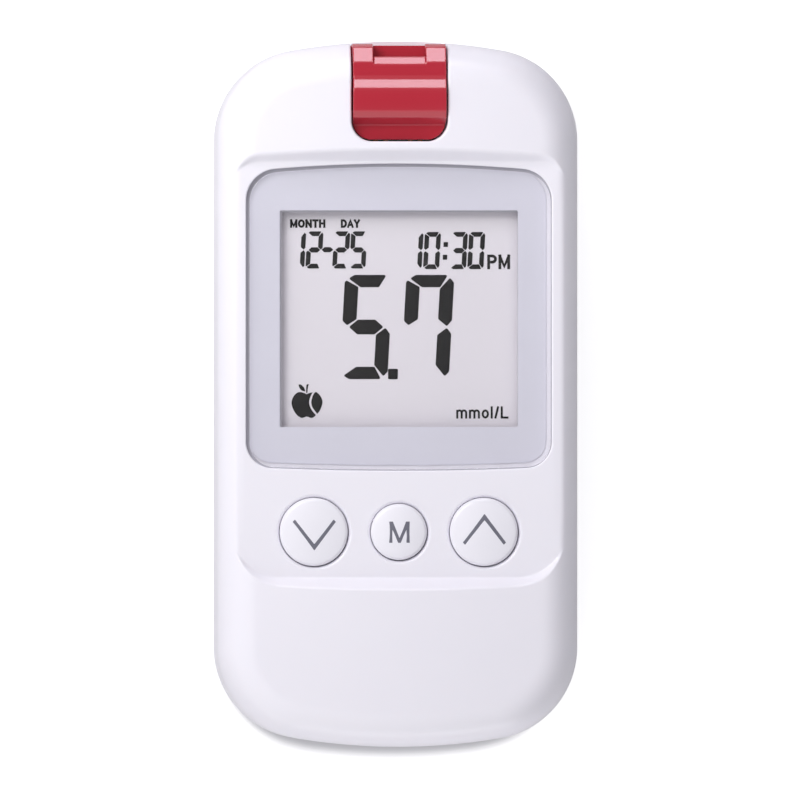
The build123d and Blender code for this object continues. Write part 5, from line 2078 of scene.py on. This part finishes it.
@dataclass
class Studio:
    """The floor, the lights and the camera. Fields with two values are where something fades."""

    frame_width: float = 104.4
    aim: tuple[float, float, float] = (0.47, -0.78, 12.0)
    lean: float = 2.9
    distance: float = 5.0
    sensor: float = 36.0
    clip_end: float = 20.0
    floor_half: float = 1500.0
    floor_gap: float = 0.02
    floor_colour: Colour = (0.68, 0.68, 0.69)
    floor_roughness: float = 0.9
    rear_round: float = 4.1
    glow: float = 0.66
    contact: float = 2.1
    contact_from: float = 0.2
    contact_thins: tuple[float, float] = (10.0, 26.0)
    contact_loss: float = 0.8
    contact_ends: tuple[float, float] = (-16.0, 0.0)
    sky: float = 0.675
    sky_colour: Colour = (0.985, 0.98, 1.0)
    shade_side: Colour = (0.96, -0.2, -0.2)
    shade_reach: tuple[float, float] = (0.25, 0.9)
    shade_share: float = 0.12
    lower_glow: float = 0.82
    dark_reach: tuple[float, float] = (0.93, 0.985)
    dark_top: float = 0.85

    def build(self) -> None:
        """Builds the studio."""
        self.floor()
        self.world()
        for box in SOFT_BOXES:
            box.hang()
        self.camera()
        bpy.context.scene.view_settings.view_transform = "Standard"

    def floor(self) -> None:
        """Lays a pale floor with a hole under the meter's flat rear face, clear from below."""
        far = self.floor_half
        square = np.array(((far, -far), (far, far), (-far, far), (-far, -far)))
        plan = case_plan(*(corner / MM for corner in CAD_BOUNDS))
        footprint = plan.grown(-self.rear_round).outline(1.0)
        points, triangles = Region(square, [footprint[::-1]]).triangles()
        vertices = np.column_stack((points, np.full(len(points), -self.floor_gap)))
        material, wire, shader = new_material("studio_floor")
        wire.put(shader, Base_Color=opaque(self.floor_colour), Roughness=self.floor_roughness)
        wire.put(shader, Emission_Color=opaque((1.0, 1.0, 1.0)), Emission_Strength=self.floor_glow(wire))
        under = wire.add("ShaderNodeNewGeometry").outputs["Backfacing"]
        wire.surface(under, shader, wire.add("ShaderNodeBsdfTransparent"))
        new_piece("studio_floor", vertices, triangles.tolist(), material)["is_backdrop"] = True

    def floor_glow(self, wire: Wiring) -> bpy.types.NodeSocket:
        """Adds nodes that whiten the floor to the camera, except close to the meter's lower end."""
        path = wire.add("ShaderNodeLightPath")
        seen = wire.math("MAXIMUM", path.outputs["Is Camera Ray"], path.outputs["Is Transmission Ray"])
        place = wire.add("ShaderNodeTexCoord").outputs["Object"]
        split = wire.put(wire.add("ShaderNodeSeparateXYZ"), Vector=place)
        along = split.outputs["Y"]
        aside = wire.math("ABSOLUTE", split.outputs["X"])
        folded = wire.put(wire.add("ShaderNodeCombineXYZ"), X=aside, Y=along).outputs[0]
        low_y, high_x = CAD_BOUNDS[0].y / MM, CAD_BOUNDS[1].x / MM
        end = self.ring(wire, folded, (0.0, low_y + END_RADIUS), END_RADIUS)
        corner_x = high_x - CASE_CORNER
        drop = math.sqrt((END_RADIUS - CASE_CORNER) ** 2 - corner_x**2)
        near = self.ring(wire, folded, (corner_x, low_y + END_RADIUS - drop), CASE_CORNER)
        turn = corner_x * END_RADIUS / (END_RADIUS - CASE_CORNER)
        away = wire.mix_value(wire.math("GREATER_THAN", aside, turn * MM), end, near)
        whole = self.contact * MM
        thin = wire.soft_range(aside, metres(self.contact_thins), (0.0, whole * self.contact_loss))
        clear = wire.soft_range(wire.math("ADD", away, thin), (self.contact_from * MM, whole), (0.0, 1.0))
        upper = wire.soft_range(along, metres(self.contact_ends), (0.0, 1.0))
        free = wire.math("MAXIMUM", clear, upper)
        return wire.math("MULTIPLY", wire.math("MULTIPLY", seen, self.glow), free)

    def ring(
        self, wire: Wiring, place: bpy.types.NodeSocket, centre: tuple[float, float], radius: float
    ) -> bpy.types.NodeSocket:
        """Adds nodes that measure how far a place lies outside a circle of the floor."""
        offset = wire.add("ShaderNodeVectorMath", operation="SUBTRACT")
        wire.put(offset, n0=place, n1=(centre[0] * MM, centre[1] * MM, 0.0))
        reach = wire.put(wire.add("ShaderNodeVectorMath", operation="LENGTH"), n0=offset.outputs[0])
        return wire.math("SUBTRACT", reach.outputs["Value"], radius * MM)

    def world(self) -> None:
        """Surrounds the meter with pale light, darkest from the right and above, white to the camera."""
        world = bpy.data.worlds.new("studio")
        bpy.context.scene.world = world
        world.use_nodes = True
        wire = Wiring(world.node_tree)
        towards = wire.add("ShaderNodeTexCoord").outputs["Generated"]
        lean = wire.add("ShaderNodeVectorMath", operation="DOT_PRODUCT")
        shaded = wire.put(lean, n0=towards, n1=self.shade_side).outputs["Value"]
        side = wire.soft_range(shaded, self.shade_reach, (self.sky, self.sky * self.shade_share))
        split = wire.put(wire.add("ShaderNodeSeparateXYZ"), Vector=towards)
        lower = wire.math("SUBTRACT", 1.0, wire.math("MULTIPLY", split.outputs["Y"], self.lower_glow))
        hole = wire.soft_range(split.outputs["Z"], self.dark_reach, (1.0, 1 - self.dark_top))
        sky = wire.math("MULTIPLY", wire.math("MULTIPLY", side, hole), lower)
        seen = wire.add("ShaderNodeLightPath").outputs["Is Camera Ray"]
        background = world.node_tree.nodes["Background"]
        wire.put(background, Color=opaque(self.sky_colour), Strength=wire.math("MAXIMUM", sky, seen))

    def camera(self) -> None:
        """Places the camera over the meter, a little to its left."""
        data = bpy.data.cameras.new("camera")
        data.sensor_width = self.sensor
        data.lens = self.sensor * self.distance / (self.frame_width * MM)
        data.clip_end = self.clip_end
        camera = bpy.data.objects.new("camera", data)
        turn = math.radians(self.lean)
        heading = Vector((-math.sin(turn), 0, math.cos(turn)))
        camera.location = Vector(self.aim) * MM + heading * self.distance
        camera.rotation_euler = (0.0, -turn, 0.0)
        bpy.context.scene.collection.objects.link(camera)
        bpy.context.scene.camera = camera


def write_sizes() -> None:
    """Works out the frame's box and the finished model's box, but neither writes nor keeps them."""
    boxes = {"cad": CAD_BOUNDS, "visual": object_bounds()}
    {name: [list(corner) for corner in box] for name, box in boxes.items()}


def main() -> None:
    """Builds the meter and its studio, piece by piece."""
    logging.basicConfig(level=logging.INFO, format="%(name)s: %(message)s")
    paints = Paints().build()
    Inside(paints).build()
    shell = FrontShell(paints)
    shell.build()
    Display(paints, shell).build()
    ButtonRow(paints).build()
    Ejector(paints).build()
    Rear(paints).build()
    Hardware(paints).build()
    Studio().build()
    write_sizes()


if __name__ == "__main__":
    main()
